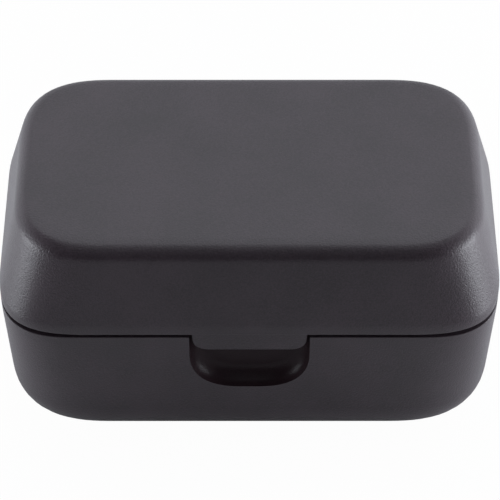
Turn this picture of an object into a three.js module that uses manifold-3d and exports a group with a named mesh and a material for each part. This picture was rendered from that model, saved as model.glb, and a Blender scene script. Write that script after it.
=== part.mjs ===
// A wrist blood pressure monitor stowed in its hard carrying case. Millimetres, +Z up.
// The case stands on its flat underside: the origin is the middle of that face,
// +X runs along the width, -Y is the front with the finger recess.
import * as THREE from "three";
import { mergeVertices } from "three/addons/utils/BufferGeometryUtils.js";
import Module from "manifold-3d";

const wasm = await Module();
wasm.setup();

// Clearances and helpers for joining and cutting
const GAP = 0.3; // between neighbouring pieces
const SEAM_GAP = 0.6; // visible line between lid and base
const KNUCKLE_GAP = 0.6; // between hinge knuckles along the pin
const PIN_GAP = 0.25; // round the hinge pin
const EMBED = 0.5; // how far a joined feature is let into its wall
const OVERCUT = 1; // how far a cutter runs past the face it cuts

// Monitor, outside
const MONITOR_WIDTH = 88;
const MONITOR_DEPTH = 56;
const MONITOR_CORNER = 8;
const MONITOR_EDGE = 2.6; // rounding of the top and bottom edges
const HOUSING_WALL = 1.6;

// Cuff, wound as it lies in the case
const CUFF_WIDTH = 52; // along the arm
const CUFF_HALF_SPAN = 43; // half of the loop's width
const CUFF_HEIGHT = 35.9; // outside height of the loop
const COVER_THICK = 1.6;
const HOOK_THICK = 1.0;
const HOOK_MARGIN = 3; // cover left bare round the hook pad
const CURLER_THICK = 1.0;
const BLADDER_THICK = 3.0;
const OUTER_TAIL_X = -20; // where the outer free end stops under the loop
const INNER_TAIL_X = 14; // where the inner end stops
const LAYER_SETBACK = 3; // curler and bladder stop short of the cover's inner end
const LAYER_START = 1; // they start this far before the right-hand turn

// Case, built round the monitor
const WALL = 2.2;
const WIDTH_ROOM = 13.8; // beside the monitor, at the seam
const DEPTH_ROOM = 4.6; // in front of it and behind it, at the seam
const CUFF_ROOM = 6.6; // in front of the cuff and behind it
const CUFF_EDGE_ROOM = 5.1; // the part of that room the bottom rounding may take
const HEAD_ROOM = 5.3; // over the monitor, inside the lid
const MONITOR_SINK = 1.4; // how deep the monitor sits below the seam
const FLOOR_RIB_WIDE = 1.6;
const FLOOR_RIB_LONG = 36;
const FLOOR_RIB_X = [-14, 4, 22];
const RIM_LAND = 3.1; // upright band above and below the seam
const SEAM_CORNER = 19.8; // corner radius in plan, at the seam
const CORNER_POWER = 2.86; // 2 is a round corner, more is squarer
const LID_TAPER_DEG = 13.6;
const LID_EDGE = 2.4; // rounding of the lid's top edge
const LID_TOP_CORNER = 22.7;
const LID_INNER_EDGE = 1.0;
const BASE_TAPER_DEG = 1.5;
const BASE_EDGE = 15.1; // large rounding under the base
const BASE_FOOT_CORNER = 26.9;
const LIP_HEIGHT = 1.8; // locating lip that stands inside the lid
const LIP_FOOT = 3; // how far that lip reaches down into the base wall
const SKIRT_THICK = 0.9; // thin skirt of the lid outside the lip

// Finger recess in the base and the thumb tab of the lid
const RECESS_WIDTH = 29.6;
const RECESS_HEIGHT = 17.6;
const RECESS_CORNER = 11.5;
const RECESS_DEPTH = 4.5;
const RECESS_WALL = 1.8;
const RECESS_FILLET = 4.0; // where the sides of the scoop run into its back
const TAB_SIDE_GAP = 0.75;
const TAB_SET_BACK = 0.25; // behind the lid's face, so that the rim draws a line over it
const TAB_DROP = 4.5; // below the seam
const TAB_CORNER = 4.4;
const TONGUE_POWER = 2.5; // corners of tab and recess, squarer than round
const TAB_THICK = 1.8;
const CATCH_HALF = 6.5; // half length of the snap rib and bead
const CATCH_HIGH = 1.2;
const CATCH_BITE = 0.4; // how far rib and bead lie behind each other
const BEAD_PROUD = 1.4;
const BEAD_UP = 0.4; // from the tab's lower edge

// Hinge at the back of the seam
const HINGE_OUT = 1.5; // pin axis behind the back wall
const KNUCKLE_RADIUS = 2.5;
const KNUCKLE_CLEAR = 0.4; // round a knuckle, in the other half's wall
const PIN_RADIUS = 0.9;
const HINGE_HALF = 28;
const END_KNUCKLE = 9.8;
const MID_KNUCKLE = 9.6;
const GUSSET_LONG = 7; // slope that ties a knuckle to its wall
const GUSSET_TURN = 0.65; // where the slope leaves the knuckle, in radians from the level

// Inside the monitor
const CELL_RADIUS = 5.25;
const CELL_LENGTH = 43.7; // without the end cap
const CELL_CAP_RADIUS = 2.6;
const CELL_CAP = 0.8;
const CELL_SPACE = 0.5; // between the two cells
const CELL_END_ROOM = 4; // between the outer cell and the battery cover, clear of the round corners
const CONTACT_THICK = 0.5;
const CONTACT_WIDE = 7;
const CONTACT_HIGH = 8;
const SPRING_RADIUS = 2.6;
const SPRING_TIP_RADIUS = 1.7;
const SPRING_WIRE = 0.25; // radius of the wire
const SPRING_CURLS = 3;
const DIVIDER_WALL = 1.2; // between the cells and the rest
const BOARD_THICK = 1.2;
const BOARD_LIFT = 0.45; // over the cells
const BOARD_MARGIN = 0.8; // from the housing wall
const BOARD_CORNER = 5;
const STANDOFF_RADIUS = 1.2;
const STANDOFF_FROM_RIGHT = 26; // from the housing's right-hand end
const STANDOFF_FROM_LEFT = 4;
const STANDOFF_FROM_SIDE = 10; // from its front and back
const SWITCH_SIZE = 6;
const SWITCH_HIGH = 0.8;
const LCD_THICK = 1.7;
const LCD_BORDER_X = 3.5; // of the window, left and right of the panel
const LCD_BORDER_Y = 3.75; // in front of it and behind it
const LCD_BEZEL = 2; // the opening in the housing is this much smaller all round
const LCD_CORNER = 1.5;
const WINDOW_FROM_LEFT = 3.5; // from the housing's left-hand end
const WINDOW_FROM_RIGHT = 27.5; // room for the buttons
const WINDOW_FROM_SIDE = 4.75; // from its front and back
const WINDOW_THICK = 0.9;
const WINDOW_CORNER = 5.5;
const WINDOW_SINK = 0.1; // below the housing's top face
const BUTTON_PROUD = 0.5;
const BUTTON_CROWN = 0.4;
const BUTTON_FLANGE = 0.8; // keeps the button in its hole
const BUTTON_FLANGE_THICK = 0.5;
const BUTTON_TRAVEL = 0.5;
const START_RADIUS = 8.4;
const SMALL_BUTTON_RADIUS = 4.2;
const START_FROM_RIGHT = 14; // from the housing's right-hand end
const START_Y = 8;
const SMALL_BUTTON_PITCH = 11.6; // the two small buttons stand side by side
const SMALL_BUTTON_Y = -13;
const SCREW_FROM_LEFT = 5; // from the housing's left-hand end
const SCREW_FROM_CELLS = 4.3;
const SCREW_FROM_SIDE = 4.5; // from its front and back
const SCREW_RADIUS = 0.9;
const SCREW_HEAD_RADIUS = 1.8;
const SCREW_HEAD = 1.3;
const SCREW_INTO_BOSS = 5.2;
const BOSS_RADIUS = 2.4;
const POST_RADIUS = 3.2;
const COVER_PLATE = 1.4; // thickness of the battery cover
const COVER_HALF = 23; // half length of its opening
const GRIP_ROWS = [-1, 0, 1];
const GRIP_PITCH = 2.2;
const GRIP_PROUD = 0.5;
const GRIP_WIDE = 0.9;
const GRIP_LONG = 16;
const MOTOR_RADIUS = 5.2;
const MOTOR_LENGTH = 18;
const PUMP_HEAD = 10.4; // width and height
const PUMP_HEAD_LONG = 10.5;
const VALVE_RADIUS = 4;
const VALVE_LENGTH = 8.4;
const VALVE_SPACE = 2.6; // between pump head and valve
const PUMP_FROM_POST = 0.5; // between the front screw post and the motor
const TUBE_RADIUS = 1.5;
const MANIFOLD = [8, 9, 5.5];
const MANIFOLD_AT = [-20, 6];
const NOZZLE_RADIUS = 1.2;
const NIPPLE_RADIUS = 2;
const NIPPLE_INTO_BLADDER = 1.2;
const SENSOR = [7, 7, 3.2];
const CHIP = [10, 10, 1.4];
const CHIP_AT = [2, -6];

// Facets
const CORNER_STEPS = 9;
const EDGE_STEPS = 4;
const BASE_EDGE_STEPS = 7;
const LOOP_STEPS = 12; // along each half turn of the cuff
const ROUND = 24;
const COIL_STEPS = 36;
const ROUND_POWER = 2;

// Heights inside the monitor, from its underside
const INNER_FLOOR = HOUSING_WALL + GAP;
const CELL_Z = INNER_FLOOR + CELL_RADIUS;
const BOARD_Z = INNER_FLOOR + 2 * CELL_RADIUS + BOARD_LIFT;
const BOARD_TOP = BOARD_Z + BOARD_THICK;
const BUTTON_FOOT = BOARD_TOP + SWITCH_HIGH + BUTTON_TRAVEL + GAP;
const LCD_TOP = BOARD_TOP + GAP + LCD_THICK;
const CEILING_Z = Math.max(BUTTON_FOOT + BUTTON_FLANGE_THICK, LCD_TOP) + GAP;
const MONITOR_THICK = CEILING_Z + HOUSING_WALL;
const PARTING_Z = MONITOR_THICK / 2;

// Sizes of the case that follow from what it holds
const INNER_EDGE = BASE_EDGE - WALL;
const EDGE_LEFT = INNER_EDGE - Math.min(CUFF_EDGE_ROOM, INNER_EDGE);
const FLOOR_RIB = INNER_EDGE - Math.sqrt(INNER_EDGE ** 2 - EDGE_LEFT ** 2) - GAP;
const LIFT = WALL + FLOOR_RIB + GAP; // underside of the cuff
const MONITOR_Z = LIFT + CUFF_HEIGHT + GAP;
const SEAM_Z = MONITOR_Z + MONITOR_SINK;
const TOP_Z = MONITOR_Z + MONITOR_THICK + HEAD_ROOM + WALL;
const HALF_WIDTH = MONITOR_WIDTH / 2 + WIDTH_ROOM + WALL;
const HALF_DEPTH = Math.max(MONITOR_DEPTH / 2 + DEPTH_ROOM, CUFF_WIDTH / 2 + CUFF_ROOM) + WALL;
const LID_TAPER = Math.tan(THREE.MathUtils.degToRad(LID_TAPER_DEG));
const BASE_TAPER = Math.tan(THREE.MathUtils.degToRad(BASE_TAPER_DEG));
const HINGE_Y = HALF_DEPTH + HINGE_OUT;

// Places inside the monitor that follow from its outside
const INNER_HALF_WIDTH = MONITOR_WIDTH / 2 - HOUSING_WALL;
const INNER_HALF_DEPTH = MONITOR_DEPTH / 2 - HOUSING_WALL;
const OUTER_CELL_X = MONITOR_WIDTH / 2 - COVER_PLATE - CELL_END_ROOM - CELL_RADIUS;
const INNER_CELL_X = OUTER_CELL_X - 2 * CELL_RADIUS - CELL_SPACE;
const SCREW_X = INNER_CELL_X - CELL_RADIUS - SCREW_FROM_CELLS;
const SCREW_Y = MONITOR_DEPTH / 2 - SCREW_FROM_SIDE;
const SCREW_LEFT_X = SCREW_FROM_LEFT - MONITOR_WIDTH / 2;
const SCREW_AT = [
  [SCREW_LEFT_X, -SCREW_Y],
  [SCREW_LEFT_X, SCREW_Y],
  [SCREW_X, -SCREW_Y],
  [SCREW_X, SCREW_Y],
];
const STANDOFF_X = MONITOR_WIDTH / 2 - STANDOFF_FROM_RIGHT;
const STANDOFF_Y = MONITOR_DEPTH / 2 - STANDOFF_FROM_SIDE;
const STANDOFF_AT = [
  [STANDOFF_X, STANDOFF_Y],
  [STANDOFF_X, -STANDOFF_Y],
  [STANDOFF_FROM_LEFT - MONITOR_WIDTH / 2, 0],
];
const START_X = MONITOR_WIDTH / 2 - START_FROM_RIGHT;
const START_AT = [START_X, START_Y];
const MEMORY_AT = [START_X - SMALL_BUTTON_PITCH / 2, SMALL_BUTTON_Y];
const USER_AT = [START_X + SMALL_BUTTON_PITCH / 2, SMALL_BUTTON_Y];
const WINDOW_WIDTH = MONITOR_WIDTH - WINDOW_FROM_LEFT - WINDOW_FROM_RIGHT;
const WINDOW_DEPTH = MONITOR_DEPTH - 2 * WINDOW_FROM_SIDE;
const WINDOW_X = (WINDOW_FROM_LEFT - WINDOW_FROM_RIGHT) / 2;
const LCD_WIDTH = WINDOW_WIDTH - 2 * LCD_BORDER_X;
const LCD_DEPTH = WINDOW_DEPTH - 2 * LCD_BORDER_Y;
const PUMP_X = -INNER_HALF_WIDTH + BOARD_MARGIN + MOTOR_RADIUS;
const PUMP_Y = POST_RADIUS + PUMP_FROM_POST - SCREW_Y; // front end of the motor
const PUMP_HEAD_Y = PUMP_Y + MOTOR_LENGTH + GAP;
const VALVE_Y = PUMP_HEAD_Y + PUMP_HEAD_LONG + VALVE_SPACE;
const CONTACT_Y = INNER_HALF_DEPTH - GAP - CONTACT_THICK; // inner face of a contact plate
const CELL_CAP_Y = CONTACT_Y - GAP; // tip of a cell's end cap
const SPRING_LONG = 2 * CONTACT_Y - 2 * GAP - CELL_CAP - CELL_LENGTH - GAP;

const CASE_PLASTIC = new THREE.MeshStandardMaterial({ color: 0x363338, roughness: 0.55 });
const HOUSING_PLASTIC = new THREE.MeshStandardMaterial({ color: 0x55575c, roughness: 0.5 });
const PART_PLASTIC = new THREE.MeshStandardMaterial({ color: 0xd8d8d4, roughness: 0.5 });
const WINDOW_PLASTIC = new THREE.MeshStandardMaterial({ color: 0x101114, roughness: 0.1 });
const LCD_GLASS = new THREE.MeshStandardMaterial({ color: 0x9aa394, roughness: 0.2 });
const STEEL = new THREE.MeshStandardMaterial({ color: 0xb9bcc0, roughness: 0.3, metalness: 1 });
const BOARD = new THREE.MeshStandardMaterial({ color: 0x1f5a36, roughness: 0.5 });
const CHIP_PLASTIC = new THREE.MeshStandardMaterial({ color: 0x17181a, roughness: 0.5 });
const RUBBER = new THREE.MeshStandardMaterial({ color: 0xc9c4b8, roughness: 0.7 });
const CELL_SKIN = new THREE.MeshStandardMaterial({ color: 0x8c6a2e, roughness: 0.35 });
const FABRIC = new THREE.MeshStandardMaterial({ color: 0x2b2c31, roughness: 0.9 });
const LINING = new THREE.MeshStandardMaterial({ color: 0x4a4d55, roughness: 0.9 });

function toSolid(geometry) {
  const bare = geometry.clone();
  bare.deleteAttribute("normal");
  bare.deleteAttribute("uv");
  const merged = mergeVertices(bare, 1e-4);
  const corners = merged.index.array;
  const faces = [];
  for (let i = 0; i < corners.length; i += 3) {
    const [a, b, c] = corners.subarray(i, i + 3);
    if (a !== b && b !== c && c !== a) {
      faces.push(a, b, c);
    }
  }
  const mesh = new wasm.Mesh({
    numProp: 3,
    vertProperties: Float32Array.from(merged.attributes.position.array),
    triVerts: Uint32Array.from(faces),
  });
  return new wasm.Manifold(mesh);
}

function toGeometry(solid) {
  const mesh = solid.getMesh();
  const geometry = new THREE.BufferGeometry();
  geometry.setAttribute("position", new THREE.BufferAttribute(mesh.vertProperties, 3));
  geometry.setIndex(new THREE.BufferAttribute(mesh.triVerts, 1));
  geometry.computeVertexNormals();
  return geometry;
}

function box(x0, x1, y0, y1, z0, z1) {
  const geometry = new THREE.BoxGeometry(x1 - x0, y1 - y0, z1 - z0);
  return toSolid(geometry.translate((x0 + x1) / 2, (y0 + y1) / 2, (z0 + z1) / 2));
}

// A block of size [x, y, z] with the middle of its underside at x, y, z.
function block([sizeX, sizeY, sizeZ], x, y, z) {
  return box(x - sizeX / 2, x + sizeX / 2, y - sizeY / 2, y + sizeY / 2, z, z + sizeZ);
}

// Round rods that start at a point and run along +X, +Y or +Z.
function rodX(radius, length, x, y, z) {
  const geometry = new THREE.CylinderGeometry(radius, radius, length, ROUND);
  return toSolid(geometry.rotateZ(Math.PI / 2).translate(x + length / 2, y, z));
}

function rodY(radius, length, x, y, z) {
  const geometry = new THREE.CylinderGeometry(radius, radius, length, ROUND);
  return toSolid(geometry.translate(x, y + length / 2, z));
}

function rodZ(radius, length, x, y, z) {
  const geometry = new THREE.CylinderGeometry(radius, radius, length, ROUND);
  return toSolid(geometry.rotateX(Math.PI / 2).translate(x, y, z + length / 2));
}

// A turned piece round a line along +Z, from a profile of [radius, height] going up.
function turned(profile, x, y) {
  const points = profile.map(([radius, height]) => new THREE.Vector2(radius, height));
  const geometry = new THREE.LatheGeometry(points, ROUND);
  return toSolid(geometry.rotateX(Math.PI / 2).translate(x, y, 0));
}

// A round wire or tube along a curve.
function tube(curve, radius, steps) {
  const section = new THREE.Shape();
  section.absarc(0, 0, radius, 0, 2 * Math.PI, false);
  const options = { extrudePath: curve, steps, curveSegments: EDGE_STEPS, bevelEnabled: false };
  return toSolid(new THREE.ExtrudeGeometry(section, options));
}

// How far a quarter-round edge draws a wall in, at a height above the foot of the rounding.
function roundIn(height, radius) {
  const left = THREE.MathUtils.clamp(radius - height, 0, radius);
  return radius - Math.sqrt(radius * radius - left * left);
}

// Heights at which a rounding is cut into levels, counted from its foot.
function roundLevels(radius, steps) {
  const levels = [];
  for (let i = 0; i <= steps; i += 1) {
    levels.push(radius * (1 - Math.cos((Math.PI / 2) * (i / steps))));
  }
  return levels;
}

// The same for a rounding under a top face, from the wall up to the face.
function roundLevelsUnder(top, radius, steps) {
  return roundLevels(radius, steps)
    .map((z) => top - z)
    .reverse();
}

// A corner of radius 1 from the X direction to the Y direction; over 2 the power makes it squarer.
function quarterTurn(power) {
  const points = [];
  for (let i = 0; i <= CORNER_STEPS; i += 1) {
    const turn = (Math.PI / 2) * (i / CORNER_STEPS);
    const alongX = Math.max(0, Math.cos(turn)) ** (2 / power);
    const alongY = Math.max(0, Math.sin(turn)) ** (2 / power);
    points.push([alongX, alongY]);
  }
  return points;
}

// A ring of points in plan: a rectangle with rounded corners, counter-clockwise from above.
function ring({ x = 0, halfWidth, halfDepth, corner }, z, power) {
  const radius = THREE.MathUtils.clamp(corner, GAP, Math.min(halfWidth, halfDepth) - GAP);
  const quarter = quarterTurn(power).map(([alongX, alongY]) => [
    halfWidth - radius + radius * alongX,
    halfDepth - radius + radius * alongY,
  ]);
  const back = [...quarter].reverse();
  return [
    ...quarter.map(([px, py]) => [x + px, py, z]),
    ...back.map(([px, py]) => [x - px, py, z]),
    ...quarter.map(([px, py]) => [x - px, -py, z]),
    ...back.map(([px, py]) => [x + px, -py, z]),
  ];
}

// A closed solid through rings of equal length, from the lowest to the highest.
function loft(rings) {
  const count = rings[0].length;
  const faces = [];
  for (let level = 0; level + 1 < rings.length; level += 1) {
    for (let i = 0; i < count; i += 1) {
      const a = level * count + i;
      const b = level * count + ((i + 1) % count);
      faces.push(a, b, b + count, a, b + count, a + count);
    }
  }
  const last = (rings.length - 1) * count;
  for (let i = 1; i + 1 < count; i += 1) {
    faces.push(0, i + 1, i);
    faces.push(last, last + i, last + i + 1);
  }
  const geometry = new THREE.BufferGeometry();
  geometry.setAttribute("position", new THREE.Float32BufferAttribute(rings.flat(2), 3));
  geometry.setIndex(faces);
  return toSolid(geometry);
}

function loftOver(levels, section, power) {
  return loft(levels.map((z) => ring(section(z), z, power)));
}

// An outline in X and Z pushed through along Y, from y0 to y1.
function pushThrough(shape, y0, y1, bevel = 0) {
  const geometry = new THREE.ExtrudeGeometry(shape, {
    depth: y1 - y0 - 2 * bevel,
    bevelEnabled: bevel > 0,
    bevelThickness: bevel,
    bevelSize: bevel,
    bevelOffset: -bevel,
    bevelSegments: EDGE_STEPS,
    curveSegments: CORNER_STEPS,
  });
  return toSolid(geometry.rotateX(Math.PI / 2).translate(0, y1 - bevel, 0));
}

// A flat-topped tongue, rounded at its two lower corners.
function tongue(halfWidth, top, foot, corner) {
  const right = quarterTurn(TONGUE_POWER).map(([alongX, alongZ]) => {
    const x = halfWidth - corner + corner * alongX;
    return new THREE.Vector2(x, foot + corner - corner * alongZ);
  });
  const left = right.map(({ x, y }) => new THREE.Vector2(-x, y));
  const ends = [new THREE.Vector2(halfWidth, top), new THREE.Vector2(-halfWidth, top)];
  return new THREE.Shape([...left, ...right.reverse(), ...ends]);
}

// The base in plan at a height, drawn in by an inset: 0 is the outside, WALL the inside.
function baseSection(z, inset) {
  const edge = roundIn(z - inset, BASE_EDGE - inset);
  const taper = BASE_TAPER * Math.max(0, SEAM_Z - RIM_LAND - z);
  const share = THREE.MathUtils.clamp((SEAM_Z - z) / SEAM_Z, 0, 1);
  return {
    halfWidth: HALF_WIDTH - inset - taper - edge,
    halfDepth: HALF_DEPTH - inset - taper - edge,
    corner: THREE.MathUtils.lerp(SEAM_CORNER, BASE_FOOT_CORNER, share) - inset - edge,
  };
}

// The lid in plan at a height, in the same way.
function lidSection(z, inset) {
  const edge = roundIn(TOP_Z - inset - z, inset > 0 ? LID_INNER_EDGE : LID_EDGE);
  const taper = LID_TAPER * Math.max(0, z - SEAM_Z - RIM_LAND);
  const share = THREE.MathUtils.clamp((z - SEAM_Z) / (TOP_Z - SEAM_Z), 0, 1);
  return {
    halfWidth: HALF_WIDTH - inset - taper - edge,
    halfDepth: HALF_DEPTH - inset - taper - edge,
    corner: THREE.MathUtils.lerp(SEAM_CORNER, LID_TOP_CORNER, share) - inset - edge,
  };
}

// Hinge knuckles along X: three on the base, two on the lid between them.
const BASE_KNUCKLES = [
  [-HINGE_HALF, -HINGE_HALF + END_KNUCKLE],
  [-MID_KNUCKLE / 2, MID_KNUCKLE / 2],
  [HINGE_HALF - END_KNUCKLE, HINGE_HALF],
];
const LID_KNUCKLES = [
  [-HINGE_HALF + END_KNUCKLE + KNUCKLE_GAP, -MID_KNUCKLE / 2 - KNUCKLE_GAP],
  [MID_KNUCKLE / 2 + KNUCKLE_GAP, HINGE_HALF - END_KNUCKLE - KNUCKLE_GAP],
];

// A knuckle with the sloping gusset that ties it to its wall; side is -1 below the seam, 1 above.
function knuckle([x0, x1], side) {
  const root = SKIRT_THICK - GAP;
  const rim = SEAM_GAP / 2;
  const lean = (side > 0 ? LID_TAPER : BASE_TAPER) * Math.max(0, GUSSET_LONG - RIM_LAND);
  const outline = [
    [HALF_DEPTH - root, rim],
    [HINGE_Y, rim],
    [HINGE_Y + KNUCKLE_RADIUS * Math.cos(GUSSET_TURN), KNUCKLE_RADIUS * Math.sin(GUSSET_TURN)],
    [HALF_DEPTH - lean, GUSSET_LONG],
    [HALF_DEPTH - lean - root, GUSSET_LONG],
  ];
  const slope = new THREE.Shape(outline.map(([y, up]) => new THREE.Vector2(y, SEAM_Z + side * up)));
  const geometry = new THREE.ExtrudeGeometry(slope, { depth: x1 - x0, bevelEnabled: false });
  geometry.rotateX(Math.PI / 2).rotateZ(Math.PI / 2).translate(x0, 0, 0);
  return toSolid(geometry).add(rodX(KNUCKLE_RADIUS, x1 - x0, x0, HINGE_Y, SEAM_Z));
}

// Room in a wall for the other half's knuckle.
function knuckleRoom([x0, x1]) {
  const length = x1 - x0 + 2 * GAP;
  return rodX(KNUCKLE_RADIUS + KNUCKLE_CLEAR, length, x0 - GAP, HINGE_Y, SEAM_Z);
}

function pinBore() {
  const half = HINGE_HALF + OVERCUT;
  return rodX(PIN_RADIUS + PIN_GAP, 2 * half, -half, HINGE_Y, SEAM_Z);
}

// Finger recess: the hollow itself, and the wall that stands round it inside the base.
const RECESS_BACK = -HALF_DEPTH + RECESS_DEPTH;
const RECESS_FOOT = SEAM_Z - RECESS_HEIGHT;

function recessHollow() {
  const top = SEAM_Z + LIP_HEIGHT + RECESS_FILLET + OVERCUT;
  const front = -HALF_DEPTH - RECESS_FILLET - OVERCUT;
  const outline = tongue(RECESS_WIDTH / 2, top, RECESS_FOOT, RECESS_CORNER);
  return pushThrough(outline, front, RECESS_BACK, RECESS_FILLET);
}

function recessWall() {
  const half = RECESS_WIDTH / 2 + RECESS_WALL;
  const rim = SEAM_Z - SEAM_GAP / 2;
  const outline = tongue(half, rim, RECESS_FOOT - RECESS_WALL, RECESS_CORNER + RECESS_WALL);
  return pushThrough(outline, -HALF_DEPTH - OVERCUT, RECESS_BACK + RECESS_WALL);
}

// Snap rib on the back of the recess, just over the bead of the lid's tab.
function catchRib() {
  const foot = SEAM_Z - TAB_DROP + BEAD_UP + CATCH_HIGH + GAP;
  const front = -HALF_DEPTH + TAB_THICK + BEAD_PROUD - CATCH_BITE;
  return box(-CATCH_HALF, CATCH_HALF, front, RECESS_BACK + EMBED, foot, foot + CATCH_HIGH);
}

function caseBase() {
  const rim = SEAM_Z - SEAM_GAP / 2;
  const lipTop = SEAM_Z + LIP_HEIGHT;
  const outerLevels = [...roundLevels(BASE_EDGE, BASE_EDGE_STEPS), SEAM_Z - RIM_LAND, rim];
  const innerRound = roundLevels(INNER_EDGE, BASE_EDGE_STEPS).map((z) => WALL + z);
  const innerLevels = [...innerRound, SEAM_Z - RIM_LAND, lipTop + OVERCUT];
  const outside = loftOver(outerLevels, (z) => baseSection(z, 0), CORNER_POWER);
  const inside = loftOver(innerLevels, (z) => baseSection(z, WALL), CORNER_POWER);
  const lipSection = () => baseSection(SEAM_Z, SKIRT_THICK + GAP);
  const lip = loftOver([rim - LIP_FOOT, lipTop], lipSection, CORNER_POWER);
  let body = outside.add(lip).subtract(inside.subtract(recessWall()));
  body = body.subtract(recessHollow()).add(catchRib());
  for (const x of FLOOR_RIB_X) {
    const rib = [FLOOR_RIB_WIDE, FLOOR_RIB_LONG, FLOOR_RIB + EMBED];
    body = body.add(block(rib, x, 0, WALL - EMBED));
  }
  for (const span of LID_KNUCKLES) {
    body = body.subtract(knuckleRoom(span));
  }
  for (const span of BASE_KNUCKLES) {
    body = body.add(knuckle(span, -1));
  }
  return body.subtract(pinBore());
}

function caseLid() {
  const rim = SEAM_Z + SEAM_GAP / 2;
  const land = SEAM_Z + RIM_LAND;
  const outerLevels = [rim, land, ...roundLevelsUnder(TOP_Z, LID_EDGE, EDGE_STEPS)];
  const innerRound = roundLevelsUnder(TOP_Z - WALL, LID_INNER_EDGE, EDGE_STEPS);
  const outside = loftOver(outerLevels, (z) => lidSection(z, 0), CORNER_POWER);
  const inside = loftOver([rim - OVERCUT, land, ...innerRound], (z) => lidSection(z, WALL), CORNER_POWER);
  const rebateLevels = [rim - OVERCUT, SEAM_Z + LIP_HEIGHT + 2 * GAP];
  const rebate = loftOver(rebateLevels, () => lidSection(SEAM_Z, SKIRT_THICK), CORNER_POWER);
  const tabFoot = SEAM_Z - TAB_DROP;
  const tabBack = -HALF_DEPTH + TAB_THICK;
  const tabOutline = tongue(RECESS_WIDTH / 2 - TAB_SIDE_GAP, land - GAP, tabFoot, TAB_CORNER);
  const beadFoot = tabFoot + BEAD_UP;
  const beadBack = tabBack + BEAD_PROUD;
  let body = outside.subtract(inside).subtract(rebate);
  body = body.add(pushThrough(tabOutline, -HALF_DEPTH + TAB_SET_BACK, tabBack));
  body = body.add(box(-CATCH_HALF, CATCH_HALF, tabBack - EMBED, beadBack, beadFoot, beadFoot + CATCH_HIGH));
  for (const span of BASE_KNUCKLES) {
    body = body.subtract(knuckleRoom(span));
  }
  for (const span of LID_KNUCKLES) {
    body = body.add(knuckle(span, 1));
  }
  return body.subtract(pinBore());
}

function hingePin() {
  return rodX(PIN_RADIUS, 2 * HINGE_HALF, -HINGE_HALF, HINGE_Y, SEAM_Z);
}

// The line a cuff layer follows, seen along the arm: in from the outer free end, round the
// right-hand turn, over the top, round the left-hand turn and along to the inner end.
const TAIL_STACK = COVER_THICK + HOOK_THICK + 2 * GAP; // layers under the inner end
const RIGHT_TURN = CUFF_HEIGHT / 2;
const LEFT_TURN = (CUFF_HEIGHT - TAIL_STACK) / 2;
const RIGHT_TURN_X = CUFF_HALF_SPAN - RIGHT_TURN;
const LEFT_TURN_X = LEFT_TURN - CUFF_HALF_SPAN;
const CUFF_TOP = LIFT + CUFF_HEIGHT;

function halfTurn(x, z, radius, start) {
  const points = [];
  for (let i = 0; i <= LOOP_STEPS; i += 1) {
    const turn = start + Math.PI * (i / LOOP_STEPS);
    points.push(new THREE.Vector2(x + radius * Math.cos(turn), z + radius * Math.sin(turn)));
  }
  return points;
}

function cuffLine(startX, endX, inset) {
  return [
    new THREE.Vector2(startX, LIFT + inset),
    ...halfTurn(RIGHT_TURN_X, CUFF_TOP - RIGHT_TURN, RIGHT_TURN - inset, -Math.PI / 2),
    ...halfTurn(LEFT_TURN_X, CUFF_TOP - LEFT_TURN, LEFT_TURN - inset, Math.PI / 2),
    new THREE.Vector2(endX, LIFT + TAIL_STACK + inset),
  ];
}

// One layer of the cuff, a given depth in from the outside of the cover.
function cuffLayer(startX, endX, inset, thick) {
  const outer = cuffLine(startX, endX, inset);
  const inner = cuffLine(startX, endX, inset + thick).reverse();
  return pushThrough(new THREE.Shape([...outer, ...inner]), -CUFF_WIDTH / 2, CUFF_WIDTH / 2);
}

const CURLER_INSET = COVER_THICK + GAP;
const BLADDER_INSET = CURLER_INSET + CURLER_THICK + GAP;
const LAYER_X0 = RIGHT_TURN_X - LAYER_START;
const LAYER_X1 = INNER_TAIL_X - LAYER_SETBACK;
const NIPPLE_FOOT = CUFF_TOP - BLADDER_INSET - NIPPLE_INTO_BLADDER;

// Hole for the air nipple, down to its foot in the bladder.
function nippleBore() {
  const [x, y] = MANIFOLD_AT;
  return rodZ(NIPPLE_RADIUS + GAP, CUFF_TOP + OVERCUT - NIPPLE_FOOT + GAP, x, y, NIPPLE_FOOT - GAP);
}

function cuffHookPad() {
  const half = CUFF_WIDTH / 2 - HOOK_MARGIN;
  const foot = LIFT + COVER_THICK + GAP;
  const x0 = OUTER_TAIL_X + HOOK_MARGIN;
  const x1 = INNER_TAIL_X - HOOK_MARGIN;
  return box(x0, x1, -half, half, foot, foot + HOOK_THICK);
}

function cuffNipple() {
  const [x, y] = MANIFOLD_AT;
  return rodZ(NIPPLE_RADIUS, MONITOR_Z + HOUSING_WALL - NIPPLE_FOOT, x, y, NIPPLE_FOOT);
}

// The monitor's outside between two heights.
function housingOutside(z0, z1) {
  const levels = [
    ...roundLevels(MONITOR_EDGE, EDGE_STEPS),
    ...roundLevelsUnder(MONITOR_THICK, MONITOR_EDGE, EDGE_STEPS),
  ];
  const section = (z) => {
    const edge = roundIn(Math.min(z, MONITOR_THICK - z), MONITOR_EDGE);
    return {
      halfWidth: MONITOR_WIDTH / 2 - edge,
      halfDepth: MONITOR_DEPTH / 2 - edge,
      corner: MONITOR_CORNER - edge,
    };
  };
  const reach = MONITOR_WIDTH;
  return loftOver(levels, section, ROUND_POWER).intersect(box(-reach, reach, -reach, reach, z0, z1));
}

function housingInside() {
  const section = () => ({
    halfWidth: INNER_HALF_WIDTH,
    halfDepth: INNER_HALF_DEPTH,
    corner: MONITOR_CORNER - HOUSING_WALL,
  });
  return loftOver([HOUSING_WALL, CEILING_Z], section, ROUND_POWER);
}

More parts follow.
